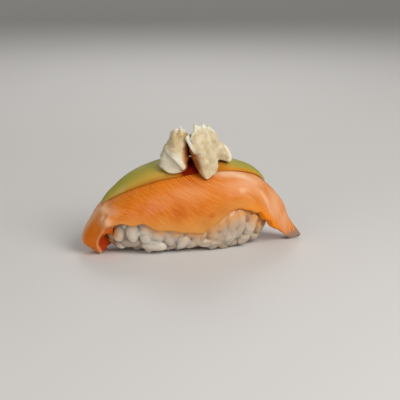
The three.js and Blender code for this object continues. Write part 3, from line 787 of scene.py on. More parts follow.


# -------------------------------------------------------------------------------------------- ginger slices

# Each rib of a slice, from the edge by the hollow round the front to the back, runs down from the crown to
# the lower border through four points x, y, z. Teeth stand up along the crown: place across the ribs, height
# and half width. Rolled edges are thicker and whiter, their white partly painted highlight: place across the
# ribs, half width, and from where to where down the slice. Painted shade from the hollow lies on the front
# from one place across the ribs, fully, to another, where that ends. A fold is a ledge between two points x,
# z, below which the front steps back. A slice is yellower and darker above by `straw`, which is painted
# shade, and whiter below by `painted_light_foot`, which is painted light.
GINGER_LEFT = {
    "ribs": np.array([
        [[-2.7, -3.0, 39.1], [-2.5, -2.9, 36.1], [-2.7, -3.5, 32.3], [-3.2, -4.6, 28.2]],
        [[-3.1, -4.3, 40.3], [-3.1, -4.3, 36.8], [-3.2, -4.9, 32.4], [-3.7, -5.9, 27.2]],
        [[-4.4, -5.4, 41.4], [-4.7, -5.6, 37.5], [-4.9, -5.8, 32.7], [-5.2, -5.9, 26.8]],
        [[-5.5, -5.7, 41.4], [-6.1, -6.1, 37.6], [-6.7, -6.1, 32.7], [-7.1, -6.1, 26.5]],
        [[-6.6, -5.2, 41.5], [-7.5, -5.5, 37.4], [-8.5, -5.4, 32.7], [-9.1, -5.6, 26.6]],
        [[-7.6, -4.7, 41.0], [-8.3, -4.6, 37.2], [-9.9, -4.4, 33.3], [-10.7, -4.4, 27.6]],
        [[-8.1, -3.9, 39.8], [-8.7, -3.5, 36.9], [-10.2, -3.0, 33.8], [-11.4, -2.9, 28.2]],
        [[-6.8, -3.1, 39.6], [-8.2, -2.4, 36.6], [-9.9, -0.8, 32.4], [-9.8, 0.6, 27.6]],
        [[-4.4, -3.0, 39.4], [-4.4, -2.5, 36.4], [-4.3, -1.9, 32.4], [-3.8, -1.1, 27.6]],
    ]),
    "pleats": 4,
    "pleat_depth": 0.35,
    "teeth": [(0.34, 1.6, 0.07), (0.53, 0.5, 0.08), (0.9, 0.7, 0.06)],
    "rolled": [],
    "shaded": (0.06, 0.4),
    "fold": {"from": (-9.9, 34.1), "to": (-4.9, 28.0), "depth": 1.3},
    "straw": 0.55,
    "painted_light_foot": 0.45,
}
GINGER_RIGHT = {
    "ribs": np.array([
        [[-2.7, -5.6, 38.7], [-2.1, -5.9, 36.3], [-1.2, -5.6, 32.5], [0.4, -6.2, 27.2]],
        [[-3.4, -6.6, 39.1], [-1.8, -7.8, 35.8], [0.6, -8.1, 32.0], [2.6, -8.6, 24.6]],
        [[-1.3, -6.5, 40.6], [-0.2, -7.9, 36.6], [1.8, -8.4, 31.6], [3.5, -8.7, 24.6]],
        [[-0.6, -6.0, 41.8], [1.2, -7.8, 37.0], [3.1, -8.4, 31.0], [4.7, -8.1, 25.2]],
        [[1.8, -5.8, 41.6], [3.4, -7.5, 37.1], [5.1, -7.9, 31.1], [6.1, -7.4, 25.9]],
        [[3.4, -5.5, 41.2], [5.0, -6.8, 36.8], [6.5, -6.6, 31.6], [7.1, -6.1, 27.5]],
        [[4.6, -5.2, 41.3], [6.3, -5.7, 36.6], [7.7, -4.8, 32.8], [8.2, -3.6, 29.6]],
        [[5.6, -4.8, 40.6], [7.3, -4.8, 36.7], [9.5, -4.5, 32.9], [10.7, -3.6, 29.2]],
        [[6.1, -4.2, 39.6], [7.5, -4.0, 36.8], [11.1, -3.9, 33.3], [12.1, -3.4, 28.8]],
        [[5.7, -3.2, 39.8], [7.4, -2.2, 36.6], [11.0, -0.8, 32.4], [11.9, 3.6, 29.0]],
        [[2.8, -2.4, 40.2], [4.4, -0.9, 36.0], [5.4, 0.3, 32.2], [5.9, 6.2, 29.0]],
        [[-1.4, -2.3, 38.8], [-2.4, -1.0, 35.8], [-3.2, 0.3, 32.0], [-3.8, 5.6, 28.7]],
    ]),
    "pleats": 5,
    "pleat_depth": 0.3,
    "teeth": [
        (0.137, -2.4, 0.045), (0.275, 1.3, 0.07), (0.385, 1.5, 0.07), (0.53, 0.9, 0.08), (0.86, 0.8, 0.05),
    ],
    "rolled": [(0.09, 0.018, -0.2, 0.5), (0.727, 0.035, 0.5, 1.2)],
    "shaded": (-0.06, 0.18),
    "fold": {"from": (6.6, 31.0), "to": (6.9, 26.0), "depth": 0.0},
    "straw": 0.0,
    "painted_light_foot": 0.0,
}
LOW_GINGER = 33.5  # the height below which the ginger is kept clear of the pieces under it
# Noise that shapes the ginger: its strength, its size, and how far its seed is from the slice's own.
GINGER_NOISE = {
    "swells": (0.38, 1.5, 1), "fine swells": (0.22, 0.8, 5), "sway": (0.6, 3.0, 2), "frill": (0.3, 0.9, 6),
    "drape": (0.6, 2.6, 10),
}


def ginger_surface(slice_, v, w):
    """The middle surface of a ginger slice: v runs down from the crown and w across the ribs.

    Both ways it is a curve through the ribs' points. Pleats are cosine waves of depth that fade down the
    slice, and each tooth is a peak with straight sides that sinks away below the crown.
    """
    v, w = np.broadcast_arrays(np.asarray(v, float), np.asarray(w, float))
    ribs = slice_["ribs"]
    across, down = curve_weights(ribs.shape[0], w), curve_weights(ribs.shape[1], v)
    point = np.einsum("...i,...j,ijk->...k", across, down, ribs)
    crown = np.clip(1 - v, 0, 2)
    wave = np.cos(2 * np.pi * slice_["pleats"] * w)
    point[..., 1] -= slice_["pleat_depth"] * wave * (0.3 + 0.7 * crown)
    for place, height, reach in slice_["teeth"]:
        point[..., 2] += height * np.maximum(1 - np.abs(w - place) / reach, 0) * crown**4
    return point


def fold_values(slice_, point):
    """How far the fold lifts the front at each point, from 0 to 1, and how near its lip the point is.

    With q the distance above the fold's line, the lift fades slowly over q and drops at once below the line.
    """
    fold = slice_["fold"]
    start, end = np.array(fold["from"]), np.array(fold["to"])
    length = np.linalg.norm(end - start)
    along = (end - start) / length
    flat = point[..., ::2] - start
    p, q = flat @ along, flat @ np.array([-along[1], along[0]])
    window = smooth(p, -1.2, 1.2) * (1 - smooth(p, length - 0.6, length + 1.0)) * (point[..., 1] < -2.8)
    lift = np.where(q > 0, 1 - smooth(q, 0.8, 6.0), 1 - smooth(-q, 0.0, 0.4))
    return window * lift, window * hump(q, 0.6, 0.75)


def height_over(points, samples, normals, aside=1.0, clear=9.0):
    """Signed height of points over the nearest samples, `clear` if these are aside, and the normals there."""
    k = nearest(points, samples)
    away = points - samples[k]
    height = np.einsum("...i,...i->...", away, normals[k])
    off = np.sqrt(np.maximum((away**2).sum(-1) - height**2, 0))
    return np.where(off < aside, height, clear), normals[k]


def hanging_share(slice_, w, blocks):
    """How far down the slice may hang at each w before it would touch a piece below it.

    Each block is the sampled points and outward normals of a piece. The first touch down each line is found
    on an even grid, and the outcome is smoothed along w by a raised cosine.
    """
    v = np.linspace(0.3, 1, 141)
    grid = ginger_surface(slice_, v[:, None], w[None, :])
    free = np.ones(grid.shape[:2], bool)
    for samples, normals in blocks:
        free &= height_over(grid, samples, normals)[0] > GAP
    first = np.where(free.all(0), len(v) - 1, np.argmin(free, axis=0))
    reach = v[np.maximum(first - 1, 0)]
    soft = np.hanning(9) / np.hanning(9).sum()
    return np.minimum(reach, np.convolve(np.pad(reach, 4, mode="edge"), soft, mode="valid") + 0.02)


def ginger_blocks():
    """Sampled points and outward normals of the two pieces under the ginger, the salmon and the avocado."""
    _, _, outer, normal, _ = slice_faces_sampled(120, 60)
    t, w = np.meshgrid(np.linspace(0.02, 0.98, 80), np.linspace(0.02, 0.98, 40), indexing="ij")
    wedge = avocado_point(t, w, 1.0)
    up = unit(wedge - avocado_point(t, w, 0.0))
    return [tuple(part.reshape(-1, 3) for part in block) for block in ((outer, normal), (wedge, up))]


def ginger_mesh(slice_, settings, seed):
    """Points, faces and values of one ginger slice: a closed sheet about its middle surface, crumpled.

    The crumple is a sum of creases, where noise changes sign, and of finer swells along the normal, with a
    sway to all sides. A frill runs along the crown, and the back edge drapes unevenly. The sheet is thickest
    along its rolled edges, and its lower part is kept clear of the pieces below.
    """
    t, w, share = sheet_steps("ginger")
    blocks = ginger_blocks()
    v = t[:, None] * hanging_share(slice_, w, blocks)[None, :]
    t, w = (np.broadcast_to(part, v.shape) for part in (t[:, None], w[None, :]))

    def surface(a, b):
        return ginger_surface(slice_, a, b)

    def noise(name, kind):
        strength, size, number = GINGER_NOISE[name]
        return strength * kind(point, size, seed + number)

    point, out = surface(v, w), normal_of(surface, v, w)
    out = out * -np.sign(out[:, 60:80, 1].mean())  # the outer side is the one that faces forward in front
    lift, lip = fold_values(slice_, point)
    point[..., 1] -= slice_["fold"]["depth"] * lift
    creases = 0.3 - np.abs(cloudy(point, 3.0, seed))
    swells = noise("swells", cloudy) + noise("fine swells", cloudy)
    sway = noise("sway", cloudy_shift)
    free = smooth(t, 0, 0.06) * (1 - 0.6 * smooth(t, 0.8, 1))
    crumple = settings.crumple / MM
    point = point + out * (crumple * (creases + swells) * (0.4 + 0.6 * free))[..., None]
    frill = noise("frill", cloudy_shift) * (1 - smooth(t, 0.05, 0.3))[..., None]
    point = point + crumple * (sway * free[..., None] + frill)
    at_back = smooth(w, 0.86, 1.0) * smooth(t, 0, 0.15)
    point = point + noise("drape", cloudy_shift) * at_back[..., None]
    rolled = np.max([0 * w] + [
        hump(w, place, width) * window(t, top, top + 0.1, end - 0.1, end + 0.1)
        for place, width, top, end in slice_["rolled"]
    ], axis=0)
    half = 0.5 * settings.thickness / MM * (1 + 0.7 * rolled) * share
    points, faces, laid_out = closed_sheet(point, out, half)
    low = points[:, 2] < LOW_GINGER
    for samples, normals in blocks:
        height, up = height_over(points[low], samples, normals)
        points[low] += up * np.clip(GAP - height, 0, 2)[..., None]
    values = ginger_values(slice_, point[..., 2], t, v, w, rolled, lip, 1 - share)
    return points, faces, {name: laid_out(*sides) for name, sides in values.items()}


# ------------------------------------------------------------------------------------------ shader building


def ginger_values(slice_, z, t, v, w, rolled, lip, rim):
    """Values that the ginger's material reads, each on the outer and on the inner side of the sheet."""
    crown = 1 - smooth(t, 0.0, 0.2)
    # Painted highlight: the crown, rolled edges and the fold's lip are whiter, with the thin rim's own white.
    pale = np.clip(np.maximum(rim, 0.85 * crown) + rolled + lip, 0, 1)
    # Painted light: the left slice's lower part is painted whiter.
    pale = np.maximum(pale, slice_["painted_light_foot"] * smooth(v, 0.5, 0.7))
    shaded = (1 - smooth(w, *slice_["shaded"])) * smooth(v, 0.1, 0.65) * (1 - rolled) * (1 - lip)
    # Painted shade: the left slice is darker and yellower above, where it faces away from the light.
    straw = slice_["straw"] * (1 - smooth(v, 0.3, 0.6))
    return {
        "crossways": (w, w),
        "down": (v, v),
        "rim": (pale, pale),
        "straw": (straw, straw),
        # Painted shade of the hollow: on the outer side where the front faces it, on the inner side darker
        # lower down.
        "hollow": (shaded, 1 - smooth(z, 35.5, 40.0)),
    }


class Graph:
    """Adds nodes to a tree. A socket given as an input is linked, and anything else is set as its value."""

    def __init__(self, tree):
        self.tree = tree

    def node(self, kind, inputs=None, **settings):
        made = self.tree.nodes.new(kind)
        for key, value in settings.items():
            setattr(made, key, value)
        for key, value in (inputs or {}).items():
            if isinstance(value, bpy.types.NodeSocket):
                self.tree.links.new(value, made.inputs[key])
            else:
                made.inputs[key].default_value = value
        return made

    def math(self, operation, a, b=0.0, c=0.0, clamp=False):
        inputs = {0: a, 1: b, 2: c}
        return self.node("ShaderNodeMath", inputs, operation=operation, use_clamp=clamp).outputs[0]

    def times(self, a, b):
        return self.math("MULTIPLY", a, b)

    def step(self, value, low, high, to_low=0.0, to_high=1.0):
        inputs = {"Value": value, "From Min": low, "From Max": high, "To Min": to_low, "To Max": to_high}
        return self.node("ShaderNodeMapRange", inputs, interpolation_type="SMOOTHSTEP").outputs[0]

    def mix(self, share, under, over):
        """One colour over another by a share. A colour is a socket or three numbers."""
        under, over = (c if isinstance(c, bpy.types.NodeSocket) else (*c, 1) for c in (under, over))
        return self.node("ShaderNodeMix", {0: share, 6: under, 7: over}, data_type="RGBA").outputs[2]

    def layers(self, colour, layers):
        """The colour with paints laid over it in turn, each by its mask times its strength."""
        for mask, strength, paint in layers:
            colour = self.mix(self.times(mask, strength), colour, paint)
        return colour

    def noise(self, vector, scale, detail, roughness=0.5, distortion=0.0):
        inputs = {"Vector": vector, "Scale": scale, "Detail": detail, "Roughness": roughness}
        return self.node("ShaderNodeTexNoise", {**inputs, "Distortion": distortion}).outputs["Fac"]

    def value(self, name):
        return self.node("ShaderNodeAttribute", attribute_name=name).outputs["Fac"]

    def vector(self, name):
        return self.node("ShaderNodeAttribute", attribute_name=name).outputs["Vector"]

    def place(self):
        return self.node("ShaderNodeTexCoord").outputs["Object"]

    def split(self, vector):
        return self.node("ShaderNodeSeparateXYZ", {0: vector}).outputs

    def group(self, name, inputs):
        return self.node("ShaderNodeGroup", inputs, node_tree=shared_group(name)).outputs


def mottle(graph, given):
    """Soft uneven patches from 0 to 1, scaled in patches a metre, for colour that varies over a surface."""
    patches = graph.noise(given["Vector"], given["Scale"], 3.0, 0.55, 0.4)
    return {"Mask": graph.step(patches, given["Low"], given["High"])}


def moist_skin(graph, given):
    """A moist skin: the height of its fine unevenness, and a roughness that is lower where it is wetter."""
    fine = graph.noise(given["Vector"], given["Scale"], 4.0, 0.6)
    broad = graph.noise(given["Vector"], graph.times(given["Scale"], 0.22), 2.0)
    height = graph.math("MULTIPLY_ADD", fine, 0.5, broad)
    return {"Height": height, "Roughness": graph.step(broad, 0.3, 0.7, given["Wet"], given["Dry"])}


def fibres(graph, given):
    """Soft fibres from 0 to 1: noise over two shares of a surface, drawn out where it repeats less."""
    first, second = graph.times(given["X"], given["X repeats"]), graph.times(given["Y"], given["Y repeats"])
    place = graph.node("ShaderNodeCombineXYZ", {0: first, 1: second}).outputs[0]
    return {"Mask": graph.noise(place, given["Scale"], 3.0, 0.6)}


def stained_hollow(graph, given):
    """Masks of painted shade, orange-tinted and dark, by how far inside the hollow a point is, and its matt
    skin.
    """
    hollow = given["Hollow"]
    stain = graph.step(hollow, given["From"], given["To"])
    return {
        "Stain": stain,
        "Heart": graph.step(hollow, given["Heart from"], given["Heart to"]),
        "Coat": graph.step(hollow, given["From"], given["To"], given["Coat"], 0.0),
        "Roughness": graph.math("MULTIPLY_ADD", stain, 0.6, given["Roughness"], clamp=True),
    }


# The effects that materials share, each with its inputs and their defaults. A vector has none.
GROUPS = {
    "Mottle": (mottle, {"Vector": None, "Scale": 200.0, "Low": 0.35, "High": 0.65}),
    "Moist skin": (moist_skin, {"Vector": None, "Scale": 900.0, "Wet": 0.25, "Dry": 0.55}),
    "Fibres": (fibres, {"X": 0.0, "Y": 0.0, "X repeats": 4.0, "Y repeats": 30.0, "Scale": 1.5}),
    "Stained hollow": (stained_hollow, {
        "Hollow": 0.0, "From": 0.0, "To": 0.4, "Heart from": 0.3, "Heart to": 0.9, "Coat": 0.1,
        "Roughness": 0.4,
    }),
}


def shared_group(name):
    """The shader node group of that name, built with its sockets when it is first asked for."""
    if name not in bpy.data.node_groups:
        build, inputs = GROUPS[name]
        tree = bpy.data.node_groups.new(name, "ShaderNodeTree")
        for socket, default in inputs.items():
            kind = "NodeSocketVector" if default is None else "NodeSocketFloat"
            made = tree.interface.new_socket(name=socket, in_out="INPUT", socket_type=kind)
            if default is not None:
                made.default_value = default
        graph = Graph(tree)
        outputs = build(graph, graph.node("NodeGroupInput").outputs)
        for socket in outputs:
            tree.interface.new_socket(name=socket, in_out="OUTPUT", socket_type="NodeSocketFloat")
        graph.node("NodeGroupOutput", outputs)
    return bpy.data.node_groups[name]


def new_material(name, colour, principled):
    """A material with its graph and Principled BSDF, whose given sockets are set to plain values."""
    material = bpy.data.materials.new(name)
    material.use_nodes = True
    material.diffuse_color = (*colour, 1)
    material.node_tree.nodes.clear()
    graph = Graph(material.node_tree)
    shader = graph.node("ShaderNodeBsdfPrincipled", principled)
    graph.node("ShaderNodeOutputMaterial", {"Surface": shader.outputs[0]})
    return material, graph, shader


def finish_surface(graph, shader, height, strength, distance, **sockets):
    """Wires a bump height and the other given sockets into the shader."""
    bump = {"Height": height, "Strength": strength, "Distance": distance}
    sockets["Normal"] = graph.node("ShaderNodeBump", bump).outputs[0]
    for name, value in sockets.items():
        graph.tree.links.new(value, shader.inputs[name.replace("_", " ")])


def salmon_material(settings):
    """Raw salmon: fine pale strands, paler lines between muscle leaves, deep blotches, and a thin hem.

    Painted sheen and highlights lie on its shoulders, painted glow and shade on the curled end, and painted
    shade under the ginger's hollow.
    """
    material, graph, shader = new_material("salmon_flesh", settings.flesh, {
        "Subsurface Weight": 0.25, "Subsurface Radius": (1.0, 0.35, 0.12), "Subsurface Scale": 0.0022,
        "IOR": 1.34, "Specular IOR Level": 0.3, "Coat Weight": 0.06, "Coat Roughness": 0.2,
    })
    step, times, value = graph.step, graph.times, graph.value
    place, strand = graph.place(), graph.vector("strand")
    x, _, z = graph.split(place)
    phase = graph.math("MULTIPLY_ADD", graph.noise(strand, 0.6, 2.0), 0.8, graph.split(strand)[0])
    wave = graph.math("SINE", times(phase, 2 * np.pi / (settings.strand_pitch / MM)))
    streaks = graph.noise(strand, 2.4, 3.0, 0.6)
    fine = times(step(wave, 0.0, 1.0), step(streaks, 0.42, 0.62))
    leaf = graph.math("PINGPONG", phase, settings.leaf_pitch / MM / 2)
    leaf_line = times(step(leaf, 0.3, 0.0), step(graph.noise(strand, 0.35, 1.0), 0.42, 0.62))
    lines = graph.math("MULTIPLY_ADD", fine, 0.62, times(leaf_line, 0.14))
    groove = times(step(wave, 0.1, -0.9), step(streaks, 0.4, 0.6))
    tail, band = step(x, 0.012, 0.024), value("band")
    depth, cut_end = value("depth"), value("cut_end")
    patches = graph.group("Mottle", {"Vector": place, "Scale": 190.0, "Low": 0.38, "High": 0.66})["Mask"]
    # The cut face is dark red, partly painted shade, and painted lighter with the glow colour above 10.5 mm.
    cut_colour = graph.mix(step(z, 0.005, 0.0105), settings.cut, settings.ember)
    colour = graph.layers(settings.flesh, [
        (patches, 0.25, settings.deep),
        # Deeper blotches, and painted shade under the ginger's hollow.
        (value("deep"), 0.85, settings.deep),
        # Pale flesh with painted sheen and highlights, and the painted rim light of the curled end.
        (value("pale"), 0.85, settings.sheen),
        (times(groove, tail), 0.3, settings.deep),
        (lines, graph.math("MULTIPLY_ADD", band, -0.7, 1.0), graph.mix(tail, settings.pale, settings.tail)),
        (band, 1.0, settings.band),
        (value("veil"), 0.9, settings.veil),
        (value("tip"), 0.85, settings.tip),
        # Painted glow on the curled end.
        (value("ember"), 0.85, settings.ember),
        (times(step(depth, 0.0, 0.05), cut_end), 0.85, settings.strip),
        (step(depth, 0.13, 0.24), cut_end, cut_colour),
    ])
    moist = graph.group("Moist skin", {"Vector": place, "Scale": 700.0, "Wet": 0.33, "Dry": 0.48})
    height = graph.math("MULTIPLY_ADD", lines, -0.35, times(moist["Height"], 0.5))
    finish_surface(graph, shader, height, 0.5, 0.00025, Base_Color=colour, Roughness=moist["Roughness"])
    return material


def rice_material(settings):
    """Cooked rice: warm white translucent grains, each with its own tone and painted shade, and painted
    orange bounce light and shade under the salmon.
    """
    material, graph, shader = new_material("cooked_rice", settings.grain, {
        "Subsurface Weight": 0.8, "Subsurface Radius": (1.0, 0.85, 0.7), "Subsurface Scale": 0.003,
        "IOR": 1.4, "Coat Weight": 0.35, "Coat Roughness": 0.2,
    })
    place = graph.place()
    patches = graph.group("Mottle", {"Vector": place, "Scale": 420.0, "Low": 0.36, "High": 0.64})["Mask"]
    moist = graph.group("Moist skin", {"Vector": place, "Scale": 1100.0, "Wet": 0.28, "Dry": 0.5})
    colour = graph.layers(settings.shade, [
        # Each grain's tone with painted shade: the darkest take the shade colour.
        (graph.step(graph.value("tone"), -1.0, 1.0), 1.0, settings.grain),
        (patches, 0.22, settings.shade),
        # Painted orange bounce light and shade from the salmon.
        (graph.value("stain"), 0.85, settings.stain),
    ])
    height, roughness = moist["Height"], moist["Roughness"]
    finish_surface(graph, shader, height, 0.35, 0.0002, Base_Color=colour, Roughness=roughness)
    return material


def avocado_material(settings):
    """Ripe avocado: green under the skin side, yellow towards the front edge, with faint long fibres.

    Painted contact shade and orange bounce light lie along the front edge, and painted shade in the hollow.
    """
    material, graph, shader = new_material("avocado_flesh", settings.green, {
        "Subsurface Weight": 0.3, "Subsurface Radius": (0.8, 0.8, 0.25), "Subsurface Scale": 0.0018,
        "IOR": 1.34, "Specular IOR Level": 0.2, "Coat Roughness": 0.3,
    })
    step, place = graph.step, graph.place()
    cross, length = graph.value("crossways"), graph.value("lengthways")
    uneven = graph.math("MULTIPLY_ADD", graph.noise(place, 150.0, 3.0), 0.35, -0.17)
    inward = step(graph.math("ADD", cross, uneven), 0.1, 0.62)
    light = graph.group("Mottle", {"Vector": place, "Scale": 170.0, "Low": 0.5, "High": 0.66})["Mask"]
    moist = graph.group("Moist skin", {"Vector": place, "Scale": 800.0, "Wet": 0.35, "Dry": 0.6})
    fibre = graph.group("Fibres", {
        "X": length, "Y": cross, "X repeats": 4.0, "Y repeats": 26.0, "Scale": 1.6,
    })["Mask"]
    hollow = graph.group("Stained hollow", {
        "Hollow": graph.value("hollow"), "From": 0.0, "To": 0.4, "Heart from": 0.3, "Heart to": 0.85,
        "Coat": 0.12, "Roughness": moist["Roughness"],
    })
    colour = graph.layers(settings.yellow, [
        (inward, 1.0, settings.green),
        (step(length, 0.6, 0.8), 0.6, settings.green),
        (step(fibre, 0.5, 0.75), 0.3, settings.pale),
        (light, 0.3, settings.pale),
        # Painted contact shade, tinted by orange bounce light, along the front edge on the salmon.
        (step(cross, 0.15, 0.0), 0.85, settings.edge),
        # Painted orange bounce light on the front edge towards the right.
        (graph.times(step(cross, 0.17, 0.02), step(length, 0.52, 0.62)), 0.8, settings.oil),
        (graph.math("ADD", step(length, 0.97, 0.995), step(length, 0.03, 0.0)), 0.7, settings.pale),
        # Painted shade in the hollow: orange-tinted, then dark at its heart.
        (hollow["Stain"], 1.0, settings.stain),
        (hollow["Heart"], 1.0, settings.heart),
    ])
    finish_surface(
        graph, shader, graph.math("MULTIPLY_ADD", fibre, 0.5, moist["Height"]), 0.4, 0.0003,
        Base_Color=colour, Roughness=hollow["Roughness"], Coat_Weight=hollow["Coat"],
    )
    return material


def ginger_material(settings):
    """Pickled ginger: thin cream flesh with fibres down the slice, whiter rims partly painted highlight,
    painted shade on the left slice, and painted shade in the hollow.
    """
    material, graph, shader = new_material("pickled_ginger", settings.cream, {
        "Subsurface Weight": 0.8, "Subsurface Radius": (1.0, 0.75, 0.45), "Subsurface Scale": 0.0022,
        "IOR": 1.4, "Coat Roughness": 0.25,
    })
    step, place = graph.step, graph.place()
    broad = graph.group("Mottle", {"Vector": place, "Scale": 230.0, "Low": 0.35, "High": 0.68})["Mask"]
    small = graph.group("Mottle", {"Vector": place, "Scale": 620.0, "Low": 0.45, "High": 0.6})["Mask"]
    moist = graph.group("Moist skin", {"Vector": place, "Scale": 900.0, "Wet": 0.3, "Dry": 0.55})
    fibre = graph.group("Fibres", {
        "X": graph.value("crossways"), "Y": graph.value("down"), "X repeats": 60.0, "Y repeats": 3.5,
        "Scale": 1.3,
    })["Mask"]
    hollow = graph.group("Stained hollow", {
        "Hollow": graph.value("hollow"), "From": 0.1, "To": 0.6, "Heart from": 0.45, "Heart to": 1.0,
        "Coat": 0.2, "Roughness": moist["Roughness"],
    })
    colour = graph.layers(settings.cream, [
        # Yellower patches, and painted shade on the left slice's upper part.
        (graph.math("MULTIPLY_ADD", broad, 0.45, graph.value("straw")), 1.0, settings.straw),
        (step(fibre, 0.48, 0.7), 0.3, settings.white),
        (small, 0.25, settings.white),
        # Whiter rims: the thin rim's own white, and painted highlight on crown, rolled edges and the fold's
        # lip.
        (step(graph.value("rim"), 0.1, 0.7), 0.8, settings.white),
        # Painted shade in the hollow: orange-tinted, then dark at its heart.
        (hollow["Stain"], 1.0, settings.stain),
        (hollow["Heart"], 1.0, settings.heart),
    ])
    finish_surface(
        graph, shader, graph.math("MULTIPLY_ADD", fibre, 0.8, graph.times(moist["Height"], 0.7)), 0.5, 0.0003,
        Base_Color=colour, Roughness=hollow["Roughness"], Coat_Weight=hollow["Coat"],
    )
    return material


# ----------------------------------------------------------------------------------------------- properties


def colour_setting(name, description, default):
    """A colour that a user may change."""
    return bpy.props.FloatVectorProperty(
        name=name, description=description, default=default, size=3, min=0, max=1, subtype="COLOR"
    )


def length_setting(name, description, millimetres):
    """A length that a user may change, given in millimetres and kept in metres."""
    return bpy.props.FloatProperty(
        name=name, description=description, default=millimetres * MM, min=0, unit="LENGTH", precision=4
    )


def angle_setting(name, description, degrees):
    """An angle that a user may change, given in degrees and kept in radians."""
    return bpy.props.FloatProperty(
        name=name, description=description, default=np.radians(degrees), subtype="ANGLE"
    )


class RiceSettings(bpy.types.PropertyGroup):
    """Sizes and colours of the rice."""

    grain_length: length_setting("Grain length", "Length of a cooked grain", 6.8)
    grain_width: length_setting("Grain width", "Width of a cooked grain", 3.7)
    seed: bpy.props.IntProperty(name="Seed", description="Which scatter of grains", default=2027, min=0)
    grain: colour_setting("Grain", "Colour of a bright grain", (0.74, 0.675, 0.58))
    # The shade colour also paints the shade on grains low down and on the right.
    shade: colour_setting("Shade", "Colour of a darker grain", (0.44, 0.34, 0.25))
    # Colour of the painted orange bounce light and shade on the rice under the salmon.
    stain: colour_setting("Stain", "Colour of rice stained by the salmon", (0.74, 0.34, 0.09))


class SalmonSettings(bpy.types.PropertyGroup):
    """Sizes and colours of the salmon slice."""

    strand_pitch: length_setting("Strand pitch", "Distance between fine strands of the flesh", 0.62)
    leaf_pitch: length_setting("Leaf pitch", "Distance between the pale lines of two muscle leaves", 4.4)
    flesh: colour_setting("Flesh", "Main colour of the flesh", (0.72, 0.2, 0.008))
    # Also the colour of the painted shade under the ginger's hollow.
    deep: colour_setting("Deep flesh", "Colour of its deeper blotches", (0.56, 0.105, 0.0))
    pale: colour_setting("Strands", "Colour of the pale strands", (0.9, 0.4, 0.11))
    # The shoulder colour paints pale flesh, painted sheen and highlights, and painted rim light.
    sheen: colour_setting("Shoulder", "Colour of the paler, pinkish shoulders", (0.95, 0.62, 0.4))
    band: colour_setting("Under the tail", "Colour of the tail's thick hem", (0.9, 0.26, 0.0))
    veil: colour_setting("Thin hem", "Colour of the thin hem over the rice", (0.68, 0.3, 0.07))
    # Colour of the painted glow on the curled end and on the top of its cut face.
    ember: colour_setting("Ember", "Colour of the orange glow beside the cut end", (0.78, 0.17, 0.0))
    # The cut face's dark red is partly painted shade.
    cut: colour_setting("Cut end", "Colour of the cut face at the curled end", (0.5, 0.045, 0.0))
    strip: colour_setting("Cut edge", "Colour of the pale line along the cut face", (0.72, 0.3, 0.13))
    tail: colour_setting("Tail strands", "Colour of the paler strands on the tail", (0.98, 0.56, 0.28))
    tip: colour_setting("Tip", "Colour of the thin free tip", (0.27, 0.21, 0.17))


class AvocadoSettings(bpy.types.PropertyGroup):
    """Colours of the avocado."""

    green: colour_setting("Green", "Colour of the outer flesh", (0.37, 0.345, 0.05))
    yellow: colour_setting("Yellow", "Colour of the inner flesh", (0.575, 0.375, 0.055))
    pale: colour_setting("Pale", "Colour of fibres and tips", (0.6, 0.52, 0.25))
    # Painted contact shade tinted by orange bounce light along the front edge.
    edge: colour_setting("Edge", "Colour of the front edge on the salmon", (0.45, 0.16, 0.01))
    # Painted orange bounce light on the front edge beside the ginger.
    oil: colour_setting("Oil", "Colour of the front edge beside the ginger", (0.72, 0.27, 0.01))
    # Painted shade in the hollow under the ginger: its orange-tinted part and its dark heart.
    stain: colour_setting("Stain", "Colour of the stain in the hollow", (0.5, 0.16, 0.004))
    heart: colour_setting("Heart", "Colour of the stain's dark heart", (0.2, 0.008, 0.0))


class GingerSettings(bpy.types.PropertyGroup):
    """Sizes and colours of the pickled ginger."""

    thickness: length_setting("Thickness", "Thickness of a slice", 1.05)
    crumple: length_setting("Crumple", "Depth of the creases", 0.55)
    cream: colour_setting("Cream", "Main colour of a slice", (0.71, 0.59, 0.38))
    # Also the colour of the painted shade on the left slice.
    straw: colour_setting("Straw", "Colour of its yellower patches", (0.55, 0.41, 0.18))
    # Also the colour of the painted highlight on rims, crown and the fold's lip.
    white: colour_setting("White", "Colour of its rims and fibres", (0.86, 0.81, 0.68))
    # Painted shade in the hollow: its orange-tinted part and its dark heart.
    stain: colour_setting("Stain", "Colour of the stain in the hollow", (0.42, 0.15, 0.02))
    heart: colour_setting("Heart", "Colour of the stain's dark heart", (0.12, 0.006, 0.0))


class StageSettings(bpy.types.PropertyGroup):
    """Camera, light and floor."""

    azimuth: angle_setting("Azimuth", "Camera's turn round the nigiri", -15)
    elevation: angle_setting("Elevation", "Camera's height above the horizon", 15)
    distance: length_setting("Distance", "Distance of the camera from the nigiri", 400)
    light: bpy.props.FloatProperty(
        name="Key light", description="Power of the main light", default=3.0, min=0, unit="POWER")
    floor: colour_setting("Floor", "Colour of the floor and backdrop", (0.72, 0.71, 0.7))


# ------------------------------------------------------------------------------------------------ operators


def dressed(piece, node):
    """Lets a piece ride on the one body and stand for its CAD node, whose part is hidden."""
    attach(piece, "root")
    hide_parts(node)


